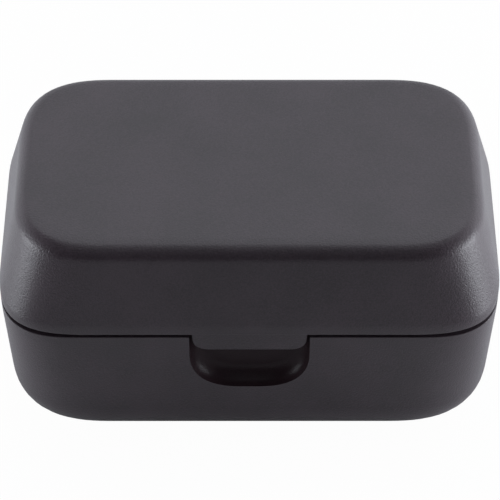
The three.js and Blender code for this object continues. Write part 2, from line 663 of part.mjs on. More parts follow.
// Opening for the cells in the right-hand end, drawn in by an inset for the cover.
function cellOpening(x0, inset) {
  const half = COVER_HALF - inset;
  const z0 = HOUSING_WALL + GAP / 2 + inset;
  const z1 = BOARD_Z - GAP - inset;
  return box(x0, MONITOR_WIDTH / 2 + OVERCUT, -half, half, z0, z1);
}

function bottomHousing() {
  const top = PARTING_Z - GAP / 2;
  const outside = housingOutside(0, top);
  let body = outside.subtract(housingInside());
  const dividerX = INNER_CELL_X - CELL_RADIUS - GAP - DIVIDER_WALL;
  const divider = box(
    dividerX,
    dividerX + DIVIDER_WALL,
    -INNER_HALF_DEPTH - EMBED,
    INNER_HALF_DEPTH + EMBED,
    HOUSING_WALL - EMBED,
    top,
  );
  body = body.add(divider);
  for (const [x, y] of SCREW_AT) {
    const post = rodZ(POST_RADIUS, top - EMBED, x, y, EMBED).intersect(outside);
    const headRoom = rodZ(SCREW_HEAD_RADIUS + GAP, SCREW_HEAD + 2 * GAP + OVERCUT, x, y, -OVERCUT);
    body = body.add(post).subtract(rodZ(SCREW_RADIUS + GAP, top + OVERCUT, x, y, 0)).subtract(headRoom);
  }
  const [nippleX, nippleY] = MANIFOLD_AT;
  const nippleHole = rodZ(NIPPLE_RADIUS + GAP, HOUSING_WALL + 2 * OVERCUT, nippleX, nippleY, -OVERCUT);
  return body.subtract(nippleHole).subtract(cellOpening(INNER_HALF_WIDTH - OVERCUT, 0));
}

function windowSection(grow) {
  return {
    x: WINDOW_X,
    halfWidth: WINDOW_WIDTH / 2 + grow,
    halfDepth: WINDOW_DEPTH / 2 + grow,
    corner: WINDOW_CORNER + grow,
  };
}

const WINDOW_TOP = MONITOR_THICK - WINDOW_SINK;
const WINDOW_FOOT = WINDOW_TOP - WINDOW_THICK;

function displayWindow() {
  return loftOver([WINDOW_FOOT, WINDOW_TOP], () => windowSection(0), ROUND_POWER);
}

function topHousing() {
  const foot = PARTING_Z + GAP / 2;
  const outside = housingOutside(foot, MONITOR_THICK);
  let body = outside.subtract(housingInside());
  const pocketLevels = [WINDOW_FOOT - GAP / 2, MONITOR_THICK + OVERCUT];
  const pocket = loftOver(pocketLevels, () => windowSection(GAP), ROUND_POWER);
  for (const [x, y] of SCREW_AT) {
    const boss = rodZ(BOSS_RADIUS, CEILING_Z + GAP - foot, x, y, foot).intersect(outside);
    body = body.add(boss).subtract(rodZ(SCREW_RADIUS + GAP, SCREW_INTO_BOSS + 2 * GAP, x, y, foot - GAP));
  }
  for (const [x, y] of STANDOFF_AT) {
    body = body.add(rodZ(STANDOFF_RADIUS, CEILING_Z - BOARD_TOP, x, y, BOARD_TOP + GAP));
  }
  const view = {
    x: WINDOW_X,
    halfWidth: LCD_WIDTH / 2 - LCD_BEZEL,
    halfDepth: LCD_DEPTH / 2 - LCD_BEZEL,
    corner: LCD_CORNER,
  };
  const viewHole = loftOver([CEILING_Z - OVERCUT, MONITOR_THICK], () => view, ROUND_POWER);
  body = body.subtract(pocket).subtract(viewHole);
  const through = HOUSING_WALL + 2 * OVERCUT;
  const under = CEILING_Z - OVERCUT;
  body = body.subtract(rodZ(START_RADIUS + GAP, through, ...START_AT, under));
  for (const at of [MEMORY_AT, USER_AT]) {
    body = body.subtract(rodZ(SMALL_BUTTON_RADIUS + GAP, through, ...at, under));
  }
  return body.subtract(cellOpening(INNER_HALF_WIDTH - OVERCUT, 0));
}

// A push button with a flange under the housing's top wall and a slightly domed face.
function button(radius, [x, y]) {
  const flangeTop = BUTTON_FOOT + BUTTON_FLANGE_THICK;
  const top = MONITOR_THICK + BUTTON_PROUD;
  const profile = [
    [0, BUTTON_FOOT],
    [radius + BUTTON_FLANGE, BUTTON_FOOT],
    [radius + BUTTON_FLANGE, flangeTop],
    [radius, flangeTop],
    [radius, top - BUTTON_CROWN],
    [radius - BUTTON_CROWN, top - BUTTON_CROWN / 4],
    [0, top],
  ];
  return turned(profile, x, y);
}

function tactSwitch([x, y]) {
  return block([SWITCH_SIZE, SWITCH_SIZE, SWITCH_HIGH], x, y, BOARD_TOP + GAP / 2);
}

function batteryCover() {
  const end = MONITOR_WIDTH / 2;
  let body = housingOutside(0, MONITOR_THICK).intersect(cellOpening(end - COVER_PLATE, GAP));
  for (const row of GRIP_ROWS) {
    const z = CELL_Z + row * GRIP_PITCH - GRIP_WIDE / 2;
    const rib = box(end - EMBED, end + GRIP_PROUD, -GRIP_LONG / 2, GRIP_LONG / 2, z, z + GRIP_WIDE);
    body = body.add(rib);
  }
  return body;
}

// A cell along Y with its raised cap at the +Y end (facing 1) or the -Y end (facing -1).
function cell(x, facing) {
  const bodyEnd = CELL_CAP_Y - CELL_CAP;
  const bodyY = facing > 0 ? bodyEnd - CELL_LENGTH : -bodyEnd;
  const capY = facing > 0 ? bodyEnd - EMBED : -CELL_CAP_Y;
  const body = rodY(CELL_RADIUS, CELL_LENGTH, x, bodyY, CELL_Z);
  return body.add(rodY(CELL_CAP_RADIUS, CELL_CAP + EMBED, x, capY, CELL_Z));
}

function contactPlate(x0, x1, facing) {
  const y = facing > 0 ? CONTACT_Y : -CONTACT_Y - CONTACT_THICK;
  const z = CELL_Z - CONTACT_HIGH / 2;
  return box(x0 - CONTACT_WIDE / 2, x1 + CONTACT_WIDE / 2, y, y + CONTACT_THICK, z, z + CONTACT_HIGH);
}

// A tapering coil along Y, wide at the contact plate and narrow at the cell.
class Coil extends THREE.Curve {
  constructor(x, facing) {
    super();
    this.x = x;
    this.facing = facing;
  }

  getPoint(share, target = new THREE.Vector3()) {
    const turn = 2 * Math.PI * SPRING_CURLS * share;
    const radius = THREE.MathUtils.lerp(SPRING_RADIUS, SPRING_TIP_RADIUS, share);
    const along = CONTACT_Y - GAP - SPRING_WIRE - (SPRING_LONG - 2 * SPRING_WIRE - GAP) * share;
    return target.set(
      this.x + radius * Math.cos(turn),
      this.facing * along,
      CELL_Z + radius * Math.sin(turn),
    );
  }
}

// Least gap between neighbouring curls of a coil, measured on points.
function coilGap(coil) {
  let least = Infinity;
  const perCurl = COIL_STEPS / SPRING_CURLS;
  const points = coil.getPoints(COIL_STEPS);
  points.forEach((a, i) => {
    points.slice(i + perCurl / 2).forEach((b) => {
      least = Math.min(least, a.distanceTo(b) - 2 * SPRING_WIRE);
    });
  });
  return least;
}

function contactSpring(x, facing) {
  const coil = new Coil(x, facing);
  console.log(`least gap between spring curls ${coilGap(coil).toFixed(2)} mm`);
  return tube(coil, SPRING_WIRE, COIL_STEPS);
}

function circuitBoard() {
  const section = () => ({
    halfWidth: INNER_HALF_WIDTH - BOARD_MARGIN,
    halfDepth: INNER_HALF_DEPTH - BOARD_MARGIN,
    corner: BOARD_CORNER,
  });
  let body = loftOver([BOARD_Z, BOARD_TOP], section, ROUND_POWER);
  for (const [x, y] of SCREW_AT) {
    body = body.subtract(rodZ(BOSS_RADIUS + GAP, BOARD_THICK + 2 * OVERCUT, x, y, BOARD_Z - OVERCUT));
  }
  return body;
}

function lcdPanel() {
  return block([LCD_WIDTH, LCD_DEPTH, LCD_THICK], WINDOW_X, 0, BOARD_TOP + GAP);
}

function housingScrew([x, y]) {
  const head = rodZ(SCREW_HEAD_RADIUS, SCREW_HEAD, x, y, GAP);
  const tip = PARTING_Z + GAP / 2 + SCREW_INTO_BOSS;
  return head.add(rodZ(SCREW_RADIUS, tip - GAP, x, y, GAP));
}

function airManifold() {
  const [x, y] = MANIFOLD_AT;
  const sensorFoot = BOARD_Z - GAP - SENSOR[2];
  const body = block(MANIFOLD, x, y, INNER_FLOOR);
  const nozzleLong = sensorFoot - GAP - INNER_FLOOR;
  return body.add(rodZ(NOZZLE_RADIUS, nozzleLong, x, y, INNER_FLOOR));
}

function pumpTube() {
  const [manifoldX, manifoldY] = MANIFOLD_AT;
  const x0 = PUMP_X + PUMP_HEAD / 2 + GAP;
  const x1 = manifoldX - MANIFOLD[0] / 2 - GAP;
  return rodX(TUBE_RADIUS, x1 - x0, x0, manifoldY, INNER_FLOOR + MANIFOLD[2] / 2);
}

function valveTube() {
  const [manifoldX, manifoldY] = MANIFOLD_AT;
  const z = INNER_FLOOR + VALVE_RADIUS;
  const y = VALVE_Y + VALVE_LENGTH / 2;
  const start = new THREE.Vector3(PUMP_X + VALVE_RADIUS + GAP, y, z);
  const corner = new THREE.Vector3(manifoldX, y, z);
  const end = new THREE.Vector3(manifoldX, manifoldY + MANIFOLD[1] / 2 + GAP, z);
  return tube(new THREE.QuadraticBezierCurve3(start, corner, end), TUBE_RADIUS, LOOP_STEPS);
}

function addTo(parent, name, solid, material) {
  const mesh = new THREE.Mesh(toGeometry(solid), material);
  mesh.name = name;
  parent.add(mesh);
}

const carried = new THREE.Group();
addTo(carried, "case_base", caseBase(), CASE_PLASTIC);
addTo(carried, "case_lid", caseLid(), CASE_PLASTIC);
addTo(carried, "hinge_pin", hingePin(), STEEL);

const cover = cuffLayer(OUTER_TAIL_X, INNER_TAIL_X, 0, COVER_THICK).subtract(nippleBore());
const curler = cuffLayer(LAYER_X0, LAYER_X1, CURLER_INSET, CURLER_THICK).subtract(nippleBore());
const bladder = cuffLayer(LAYER_X0, LAYER_X1, BLADDER_INSET, BLADDER_THICK).subtract(nippleBore());
addTo(carried, "cuff_cover", cover, FABRIC);
addTo(carried, "cuff_curler", curler, PART_PLASTIC);
addTo(carried, "cuff_bladder", bladder, LINING);
addTo(carried, "cuff_hook_pad", cuffHookPad(), FABRIC);
addTo(carried, "cuff_air_nipple", cuffNipple(), PART_PLASTIC);

const monitor = new THREE.Group();
monitor.position.z = MONITOR_Z;
addTo(monitor, "monitor_bottom_housing", bottomHousing(), HOUSING_PLASTIC);
addTo(monitor, "monitor_top_housing", topHousing(), HOUSING_PLASTIC);
addTo(monitor, "display_window", displayWindow(), WINDOW_PLASTIC);
addTo(monitor, "lcd_panel", lcdPanel(), LCD_GLASS);
addTo(monitor, "circuit_board", circuitBoard(), BOARD);
addTo(monitor, "start_button", button(START_RADIUS, START_AT), PART_PLASTIC);
addTo(monitor, "memory_button", button(SMALL_BUTTON_RADIUS, MEMORY_AT), PART_PLASTIC);
addTo(monitor, "user_button", button(SMALL_BUTTON_RADIUS, USER_AT), PART_PLASTIC);
addTo(monitor, "start_switch", tactSwitch(START_AT), CHIP_PLASTIC);
addTo(monitor, "memory_switch", tactSwitch(MEMORY_AT), CHIP_PLASTIC);
addTo(monitor, "user_switch", tactSwitch(USER_AT), CHIP_PLASTIC);
addTo(monitor, "controller_chip", block(CHIP, ...CHIP_AT, BOARD_Z - GAP - CHIP[2]), CHIP_PLASTIC);
addTo(monitor, "pressure_sensor", block(SENSOR, ...MANIFOLD_AT, BOARD_Z - GAP - SENSOR[2]), PART_PLASTIC);
const motorZ = INNER_FLOOR + MOTOR_RADIUS;
addTo(monitor, "pump_motor", rodY(MOTOR_RADIUS, MOTOR_LENGTH, PUMP_X, PUMP_Y, motorZ), STEEL);
const headSize = [PUMP_HEAD, PUMP_HEAD_LONG, PUMP_HEAD];
const headY = PUMP_HEAD_Y + PUMP_HEAD_LONG / 2;
addTo(monitor, "pump_head", block(headSize, PUMP_X, headY, INNER_FLOOR), PART_PLASTIC);
const valveZ = INNER_FLOOR + VALVE_RADIUS;
addTo(monitor, "release_valve", rodY(VALVE_RADIUS, VALVE_LENGTH, PUMP_X, VALVE_Y, valveZ), STEEL);
addTo(monitor, "air_manifold", airManifold(), PART_PLASTIC);
addTo(monitor, "pump_tube", pumpTube(), RUBBER);
addTo(monitor, "valve_tube", valveTube(), RUBBER);
addTo(monitor, "battery_cell_1", cell(INNER_CELL_X, 1), CELL_SKIN);
addTo(monitor, "battery_cell_2", cell(OUTER_CELL_X, -1), CELL_SKIN);
addTo(monitor, "battery_bridge_contact", contactPlate(INNER_CELL_X, OUTER_CELL_X, -1), STEEL);
addTo(monitor, "battery_positive_terminal", contactPlate(INNER_CELL_X, INNER_CELL_X, 1), STEEL);
addTo(monitor, "battery_negative_terminal", contactPlate(OUTER_CELL_X, OUTER_CELL_X, 1), STEEL);
addTo(monitor, "contact_spring_1", contactSpring(INNER_CELL_X, -1), STEEL);
addTo(monitor, "contact_spring_2", contactSpring(OUTER_CELL_X, 1), STEEL);
addTo(monitor, "battery_cover", batteryCover(), HOUSING_PLASTIC);
SCREW_AT.forEach((at, i) => addTo(monitor, `housing_screw_${i + 1}`, housingScrew(at), STEEL));
carried.add(monitor);

export default carried;
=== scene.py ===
# %% [markdown]
# # A wrist blood pressure monitor in its hard carrying case
# The photograph shows the case closed: a black moulded clamshell with a thumb tab in a finger recess.
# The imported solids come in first. They are the fixed frame, in metres, and every piece made below
# takes the place of one of them or sits on one of them.

# %% Load the frame
import math

import bmesh
import bpy
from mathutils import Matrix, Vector


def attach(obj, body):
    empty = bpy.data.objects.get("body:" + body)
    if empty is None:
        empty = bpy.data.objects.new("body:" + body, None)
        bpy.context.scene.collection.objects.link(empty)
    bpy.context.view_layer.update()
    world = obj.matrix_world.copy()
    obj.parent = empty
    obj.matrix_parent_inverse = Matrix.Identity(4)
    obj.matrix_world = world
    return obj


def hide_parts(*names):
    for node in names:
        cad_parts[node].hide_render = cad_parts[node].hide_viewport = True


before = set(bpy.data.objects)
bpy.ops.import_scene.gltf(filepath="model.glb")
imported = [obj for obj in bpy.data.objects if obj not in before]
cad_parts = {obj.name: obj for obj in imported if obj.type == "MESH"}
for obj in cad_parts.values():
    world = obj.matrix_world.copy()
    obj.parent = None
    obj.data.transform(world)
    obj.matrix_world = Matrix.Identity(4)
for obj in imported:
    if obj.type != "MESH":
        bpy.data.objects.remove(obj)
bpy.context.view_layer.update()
MM = 0.001

# %% [markdown]
# ## The camera
# The picture is taken from the front and from above, centred on the case. A long lens from 0.6 m
# gives the slight narrowing towards the back. The height of the eye came from the seam line, which
# bends the same way in the render and in the photograph.

# %% Camera
SEAM = 42.425
EYE_RISE = math.radians(46.5)
EYE_FAR = 0.600
FOCAL = 175.6
SENSOR = 36
AIM = Vector((0.00013, -0.0036, 0.0390))

eye = bpy.data.cameras.new("eye")
eye.lens = FOCAL
eye.sensor_width = SENSOR
camera = bpy.data.objects.new("eye", eye)
bpy.context.scene.collection.objects.link(camera)
camera.location = Vector((0, -math.cos(EYE_RISE), math.sin(EYE_RISE))) * EYE_FAR
camera.location += Vector((0, 0, SEAM * MM))
camera.rotation_euler = (AIM - camera.location).to_track_quat("-Z", "Y").to_euler()
bpy.context.scene.camera = camera
bpy.context.scene.view_settings.view_transform = "Standard"
print("camera at", [round(v, 3) for v in camera.location])

# %% [markdown]
# ## Light and floor
# A product table: the light comes from behind and above, so the front walls stay dark and the top
# shows an even grey. A wide box hangs high behind the case, and a weak one stands low behind that. Two
# lit cards at each end draw the pale corners: a tall one close by, and a small one farther off and
# nearer to the eye. One bright dome could replace all the lamps, but then the rounded top edge would
# lose its dark line.

# %% Soft boxes and cards
COOL_WHITE = (0.91, 0.945, 1.0)
# name, place, aim, width, height, power
BOXES = [
    ("back_box", (0, 0.55, 0.75), (0, 0, 0.05), 1.2, 0.6, 2.3),
    ("low_back_box", (0, 0.8, 0.28), (0, 0, 0), 1.4, 0.5, 0.25),
]
# name, distance aside, y, z, width, height, power on the left and on the right
CARDS = [
    ("tall_card", 0.125, 0.065, 0.072, 0.27, 0.14, (0.08, 0.115)),
    ("far_card", 0.30, -0.06, 0.06, 0.16, 0.12, (0.35, 0.44)),
]


def soft_box(name, place, aim, width, height, power):
    lamp = bpy.data.lights.new(name, "AREA")
    lamp.shape = "RECTANGLE"
    lamp.size = width
    lamp.size_y = height
    lamp.energy = power
    lamp.color = COOL_WHITE
    holder = bpy.data.objects.new(name, lamp)
    bpy.context.scene.collection.objects.link(holder)
    holder.location = place
    holder.rotation_euler = (Vector(aim) - Vector(place)).to_track_quat("-Z", "Y").to_euler()
    holder.visible_camera = False


for box in BOXES:
    soft_box(*box)
for i, side in enumerate((-1, 1)):
    for name, aside, y, z, width, height, powers in CARDS:
        soft_box(name, (side * aside, y, z), (0, y, z), width, height, powers[i])

# %% [markdown]
# The world is a dim room with a few pale patches of wall and ceiling, each a soft spot round one
# direction. A plain grey world would be simpler, but the plastic is glossy enough to show where its
# light comes from, and patches can be set one by one.

# %% Sky patches
# azimuth from the back, elevation, strength
SKY_PATCHES = [
    (0, 8, 1.09), (0, 58, 0.67), (0, 88, 0.83), (-40, 32, 0.50), (40, 32, 0.60), (60, 58, 0.54),
    (-60, 8, 0.80), (60, 8, 1.0), (120, 8, 0.41), (180, 32, 0.16), (180, 60, 0.22),
]
PATCH_START = math.cos(math.radians(28.4))
PATCH_FULL = math.cos(math.radians(9.9))


def add_node(tree, kind, inputs=None, **settings):
    """A shader node with its settings. Its inputs are fed by other nodes or set to plain values."""
    node = tree.nodes.new("ShaderNode" + kind)
    for name, value in settings.items():
        setattr(node, name, value)
    for key, value in (inputs or {}).items():
        if isinstance(value, bpy.types.NodeSocket):
            tree.links.new(value, node.inputs[key])
        else:
            node.inputs[key].default_value = value
    return node.outputs


world = bpy.data.worlds.new("room")
bpy.context.scene.world = world
world.use_nodes = True
room = world.node_tree
look = add_node(room, "TexCoord")["Generated"]
total = 0
for azimuth, elevation, strength in SKY_PATCHES:
    turn, rise = math.radians(azimuth), math.radians(elevation)
    towards = (math.sin(turn) * math.cos(rise), math.cos(turn) * math.cos(rise), math.sin(rise))
    near = add_node(room, "VectorMath", {0: look, 1: towards}, operation="DOT_PRODUCT")["Value"]
    levels = {"Value": near, "From Min": PATCH_START, "From Max": PATCH_FULL, "To Max": strength}
    patch = add_node(room, "MapRange", levels, interpolation_type="SMOOTHSTEP")["Result"]
    total = add_node(room, "Math", {0: total, 1: patch})[0]
print("sky patches:", len(SKY_PATCHES))

# %% [markdown]
# The camera sees none of the patches. Its own rays, and rays through clear plastic, find plain white,
# so the ground of the picture stays white without more light on the case.

# %% What the rays see
ray = add_node(room, "LightPath")
rays = {0: ray["Is Camera Ray"], 1: ray["Is Transmission Ray"]}
clear = add_node(room, "Math", rays, operation="MAXIMUM")[0]
seen = add_node(room, "Mix", {"Factor": clear, "A": total, "B": 1})["Result"]
tones = {"Factor": clear, 6: (*COOL_WHITE, 1), 7: (1, 1, 1, 1)}
tint = add_node(room, "Mix", tones, data_type="RGBA")[2]
background = room.nodes["Background"]
room.links.new(seen, background.inputs["Strength"])
room.links.new(tint, background.inputs["Color"])
print("world nodes:", len(room.nodes))

# %% [markdown]
# The floor is matt white paper. For the camera it glows almost to full white by itself, and the small
# share that is left to real light keeps a faint shadow under the case.

# %% Floor
FLOOR_SIZE = 6
PAPER, PAPER_ROUGH = (0.8, 0.8, 0.8, 1), 0.9
OWN_GLOW = 0.975

bpy.ops.object.select_all(action="DESELECT")
bpy.ops.mesh.primitive_plane_add(size=FLOOR_SIZE)
floor = bpy.context.object
floor.name = "floor"
paper = bpy.data.materials.new("floor_paper")
paper.use_nodes = True
sheet = paper.node_tree
matte = sheet.nodes["Principled BSDF"]
matte.inputs["Base Color"].default_value = PAPER
matte.inputs["Roughness"].default_value = PAPER_ROUGH
glow = add_node(sheet, "Emission")[0]
camera_ray = add_node(sheet, "LightPath")["Is Camera Ray"]
white = add_node(sheet, "Math", {0: camera_ray, 1: OWN_GLOW}, operation="MULTIPLY")[0]
blend = add_node(sheet, "MixShader", {0: white, 1: matte.outputs[0], 2: glow})[0]
sheet.links.new(blend, sheet.nodes["Material Output"].inputs["Surface"])
floor.data.materials.append(paper)
print("floor of matt paper")

# %% [markdown]
# ## Outlines and skins
# The case is a rounded rectangle in plan at every height. One outline is a plane whose four corner
# points are bevelled: a profile over 0.5 makes the corner a little squarer than a circle, as on the
# real case. A skin is a stack of such outlines, each bridged to the one before. A box with bevelled
# edges would be quicker, but its corners couldn't change from foot to top.

# %% Helpers for outlines
CORNER_CUTS = 20
CASE_PROFILE = 0.616
SAME_LEVEL = 0.005
Y_AXIS, Z_AXIS = 1, 2


def pick_only(piece):
    bpy.ops.object.select_all(action="DESELECT")
    piece.select_set(True)
    bpy.context.view_layer.objects.active = piece


def named(name):
    """Names the primitive that was just added, and returns it."""
    piece = bpy.context.object
    piece.name = name
    piece.data.name = name
    return piece


def add_outline(half_width, half_depth, corner, place, profile=CASE_PROFILE, upright=False):
    """In edit mode: one rounded rectangle as a loop of edges, level or stood upright. Sizes in mm."""
    bpy.ops.mesh.primitive_plane_add(size=2)
    bpy.ops.transform.resize(value=(half_width * MM, half_depth * MM, 1), center_override=(0, 0, 0))
    bpy.ops.mesh.bevel(offset=corner * MM, offset_type="ABSOLUTE", segments=CORNER_CUTS,
                       profile=profile, affect="VERTICES", clamp_overlap=False)
    if upright:
        bpy.ops.transform.rotate(value=math.pi / 2, orient_axis="X", center_override=(0, 0, 0))
    bpy.ops.transform.translate(value=Vector(place) * MM)
    bpy.ops.mesh.delete(type="ONLY_FACE")


def open_loops():
    bpy.ops.mesh.select_mode(type="EDGE")
    bpy.ops.mesh.select_all(action="DESELECT")
    bpy.ops.mesh.select_non_manifold(extend=False, use_wire=True, use_boundary=True,
                                     use_multi_face=False, use_non_contiguous=False, use_verts=False)


def pick_level(piece, axis, level):
    """In edit mode: selects the edges that lie at one level of an axis, in mm."""
    bpy.ops.mesh.select_mode(type="EDGE")
    bpy.ops.mesh.select_all(action="DESELECT")
    mesh = bmesh.from_edit_mesh(piece.data)
    for edge in mesh.edges:
        if all(abs(v.co[axis] / MM - level) < SAME_LEVEL for v in edge.verts):
            edge.select_set(True)
    bmesh.update_edit_mesh(piece.data)


print("points on one outline:", 4 * (CORNER_CUTS + 1))

# %% [markdown]
# The helpers below begin a piece, bridge each new outline to the last and close both ends. The first end
# is closed as soon as it has a wall, because bridging looks for open loops and should find only two.

# %% Helpers for skins
def start_piece(name):
    """An empty mesh object in edit mode, ready for its first outline."""
    bpy.ops.object.select_all(action="DESELECT")
    bpy.ops.mesh.primitive_plane_add(size=1)
    piece = named(name)
    bpy.ops.object.mode_set(mode="EDIT")
    bpy.ops.mesh.delete(type="VERT")
    return piece


def end_piece():
    bpy.ops.mesh.select_all(action="SELECT")
    bpy.ops.mesh.normals_make_consistent(inside=False)
    bpy.ops.object.mode_set(mode="OBJECT")


def join_outline(piece, i, axis, first):
    """Bridges outline i to the one before it, and closes the first level once it has a wall."""
    if i > 0:
        open_loops()
        bpy.ops.mesh.bridge_edge_loops()
    if i == 1:
        pick_level(piece, axis, first)
        bpy.ops.mesh.edge_face_add()


def close_body():
    open_loops()
    bpy.ops.mesh.edge_face_add()
    end_piece()


def skin(name, sections, profile=CASE_PROFILE, middle_x=0):
    """A closed body through outlines (half width, half depth, corner, z), in mm, in their order."""
    piece = start_piece(name)
    for i, (half_width, half_depth, corner, z) in enumerate(sections):
        add_outline(half_width, half_depth, corner, (middle_x, 0, z), profile)
        join_outline(piece, i, Z_AXIS, sections[0][3])
    close_body()
    return piece


def round_in(height, radius):
    """How far an outline is drawn in at a height over the face of a rounded edge."""
    left = min(max(radius - height, 0), radius)
    return radius - math.sqrt(radius * radius - left * left)


def round_heights(radius, steps):
    """Heights over the face at which a rounded edge gets its outlines."""
    return [radius * (1 - math.cos(math.pi / 2 * i / steps)) for i in range(steps + 1)]


def quarter(radius, steps):
    """Steps of (distance short of the end, drawn in by) round an edge, from the wall to the end."""
    turns = [math.pi / 2 * i / steps for i in range(steps + 1)]
    return [(radius * (1 - math.sin(a)), radius * (1 - math.cos(a))) for a in turns]


def tell_faces(what, *pieces):
    print("faces of", what, [len(piece.data.polygons) for piece in pieces])


print("outlines within", SAME_LEVEL, "mm count as one level")

# %% [markdown]
# ## The base
# A deep tub. From the underside the skin goes up the large rounded edge and the nearly upright wall to
# the rim, over the locating lip, and down the inside to the floor. All heights are in millimetres. A
# flat end is closed on an outline a little way in, and neighbours are never at quite one height.

# %% Base tub
HALF_WIDTH = 60
HALF_DEPTH = 34.8
LAND, LAND_BLEND = 3.1, 0.6
WALL = 2.2
SEAM_CORNER = 19.8
FOOT_CORNER = 26.9
FOOT_EDGE = 15.1
BASE_LEAN = math.tan(math.radians(1.5))
RIM, RIM_BAND = 0.35, 0.3
EDGE_SOFT = 0.12
LIP_INSET, LIP_UP = 1.2, 1.8
LIP_EDGE_IN, LIP_EDGE_DOWN = 0.2, 0.3
FOOT_IN, FACE_IN = 2.5, 2
HAIR = 0.02


def case_section(z, gone, lean, share, far_corner):
    """An outline of the case, where the corner changes with the share of the way from the seam."""
    corner = SEAM_CORNER + (far_corner - SEAM_CORNER) * min(max(share, 0), 1)
    return (HALF_WIDTH - gone - lean, HALF_DEPTH - gone - lean, corner - gone, z)


def base_section(z, inset=0, extra=0):
    gone = inset + round_in(z - inset, FOOT_EDGE - inset) + extra
    lean = BASE_LEAN * max(0, SEAM - LAND - z)
    return case_section(z, gone, lean, (SEAM - z) / SEAM, FOOT_CORNER)


rim_z = SEAM - RIM
sections = [base_section(0, extra=FOOT_IN)]
sections += [base_section(z) for z in round_heights(FOOT_EDGE, 12)[1:]]
sections += [base_section(SEAM - LAND - LAND_BLEND), base_section(SEAM - LAND + LAND_BLEND)]
sections += [base_section(rim_z - EDGE_SOFT - RIM_BAND)]
sections += [base_section(rim_z - short, extra=gone) for short, gone in quarter(EDGE_SOFT, 3)]
sections += [
    base_section(rim_z + HAIR, extra=LIP_INSET),
    base_section(SEAM + LIP_UP - LIP_EDGE_DOWN, extra=LIP_INSET),
    base_section(SEAM + LIP_UP, extra=LIP_INSET + LIP_EDGE_IN),
    base_section(SEAM + LIP_UP - HAIR, extra=WALL),
    base_section(SEAM - LAND, inset=WALL),
]
sections += [base_section(WALL + z, inset=WALL) for z in reversed(round_heights(FOOT_EDGE - WALL, 10))]
sections += [base_section(WALL - HAIR, inset=WALL, extra=FACE_IN)]
base = skin("case_base_shell", sections)
tell_faces("the base shell", base)

# %% [markdown]
# ## The finger recess
# A scoop in the middle of the front, so that a thumb gets under the tab. First a wall is joined on
# behind the place, then the scoop is cut out of both. The scoop is an outline stood upright and
# pushed in, with a large round where its sides meet its back.

# %% Helpers for blocks and cuts
SCOOP_PROFILE = 0.575
CUTTER = 0.1


def upright_block(name, half, top, foot, corner, levels):
    """An outline stood upright and pushed along Y through levels of (y, drawn in by), in mm."""
    piece = start_piece(name)
    middle = (top + foot) / 2
    for i, (y, gone) in enumerate(levels):
        add_outline(half - gone, top - middle - gone, corner - gone, (0, y, middle), SCOOP_PROFILE, True)
        join_outline(piece, i, Y_AXIS, levels[0][0])
    close_body()
    return piece


def modify(piece, kind, **settings):
    """Adds a modifier to a piece, sets it and applies it."""
    pick_only(piece)
    bpy.ops.object.modifier_add(type=kind)
    step = piece.modifiers[-1]
    for name, value in settings.items():
        setattr(step, name, value)
    bpy.ops.object.modifier_apply(modifier=step.name)


def cut(piece, tool, operation="DIFFERENCE"):
    """A Boolean with a tool piece, which is then deleted."""
    modify(piece, "BOOLEAN", operation=operation, solver="EXACT", object=tool)
    bpy.data.objects.remove(tool)


def cut_above(piece, z):
    """Cuts off all that stands above a height in mm, with a cube of CUTTER metres."""
    bpy.ops.object.select_all(action="DESELECT")
    bpy.ops.mesh.primitive_cube_add(size=CUTTER, location=(0, 0, z * MM + CUTTER / 2))
    cut(piece, bpy.context.object)


print("profile of upright outlines:", SCOOP_PROFILE)

# %% Recess wall and scoop
FRONT = -HALF_DEPTH
RECESS_HALF = 14.3
RECESS_FOOT = SEAM - 18.8
RECESS_CORNER = 12.6
RECESS_DEEP = 4.5
RECESS_WALL = 1.8
SCOOP_ROUND = 4.0
POCKET_FROM, SCOOP_FROM = FRONT + 1.4, FRONT - 3


def rounded_back(front, back, radius):
    """Levels of a block that runs straight from its front and is rounded at its back edge."""
    return [(front, 0)] + [(back - short, gone) for short, gone in quarter(radius, 10)]


recess_back = FRONT + RECESS_DEEP
pocket = upright_block("pocket", RECESS_HALF + RECESS_WALL,
                       2 * rim_z - RECESS_FOOT, RECESS_FOOT - RECESS_WALL, RECESS_CORNER + RECESS_WALL,
                       rounded_back(POCKET_FROM, recess_back + RECESS_WALL, SCOOP_ROUND))
cut_above(pocket, rim_z)
cut(base, pocket, "UNION")
scoop = upright_block("scoop", RECESS_HALF, 2 * SEAM - RECESS_FOOT, RECESS_FOOT, RECESS_CORNER,
                      rounded_back(SCOOP_FROM, recess_back, SCOOP_ROUND))
cut(base, scoop)
tell_faces("the base with its recess", base)

# %% [markdown]
# ## Ribs inside the base
# Three low ribs on the floor carry the cuff, and a snap rib on the back of the recess holds the bead
# of the tab. Each is a box with its edges bevelled, joined to the tub. They could be extruded from the
# floor, but its mesh is a ring of long faces with no edges in the right places.

# %% Floor ribs and snap rib
RIB_PLACES = (-14, 4, 22)
RIB_HALF, RIB_EDGE = 0.8, 0.25
RIB_Y, RIB_Z = (-18, 18), (1.7, 4.52)
SNAP_X = (-6.5, 6.5)
SNAP_Y, SNAP_Z = (FRONT + 2.8, recess_back + 0.5), (SEAM - 2.6, SEAM - 1.4)


def bevelled_box(name, *spans, edge):
    """A box with spans along X, Y and Z in mm, and with all its edges bevelled."""
    bpy.ops.object.select_all(action="DESELECT")
    low, high = map(Vector, zip(*spans))
    middle = (low + high) / 2
    bpy.ops.mesh.primitive_cube_add(size=1, location=middle * MM)
    piece = named(name)
    bpy.ops.object.mode_set(mode="EDIT")
    bpy.ops.transform.resize(value=(high - low) * MM, center_override=middle * MM)
    bpy.ops.mesh.bevel(offset=edge * MM, segments=2, affect="EDGES")
    bpy.ops.object.mode_set(mode="OBJECT")
    bpy.ops.object.transform_apply(location=True, rotation=True, scale=True)
    return piece


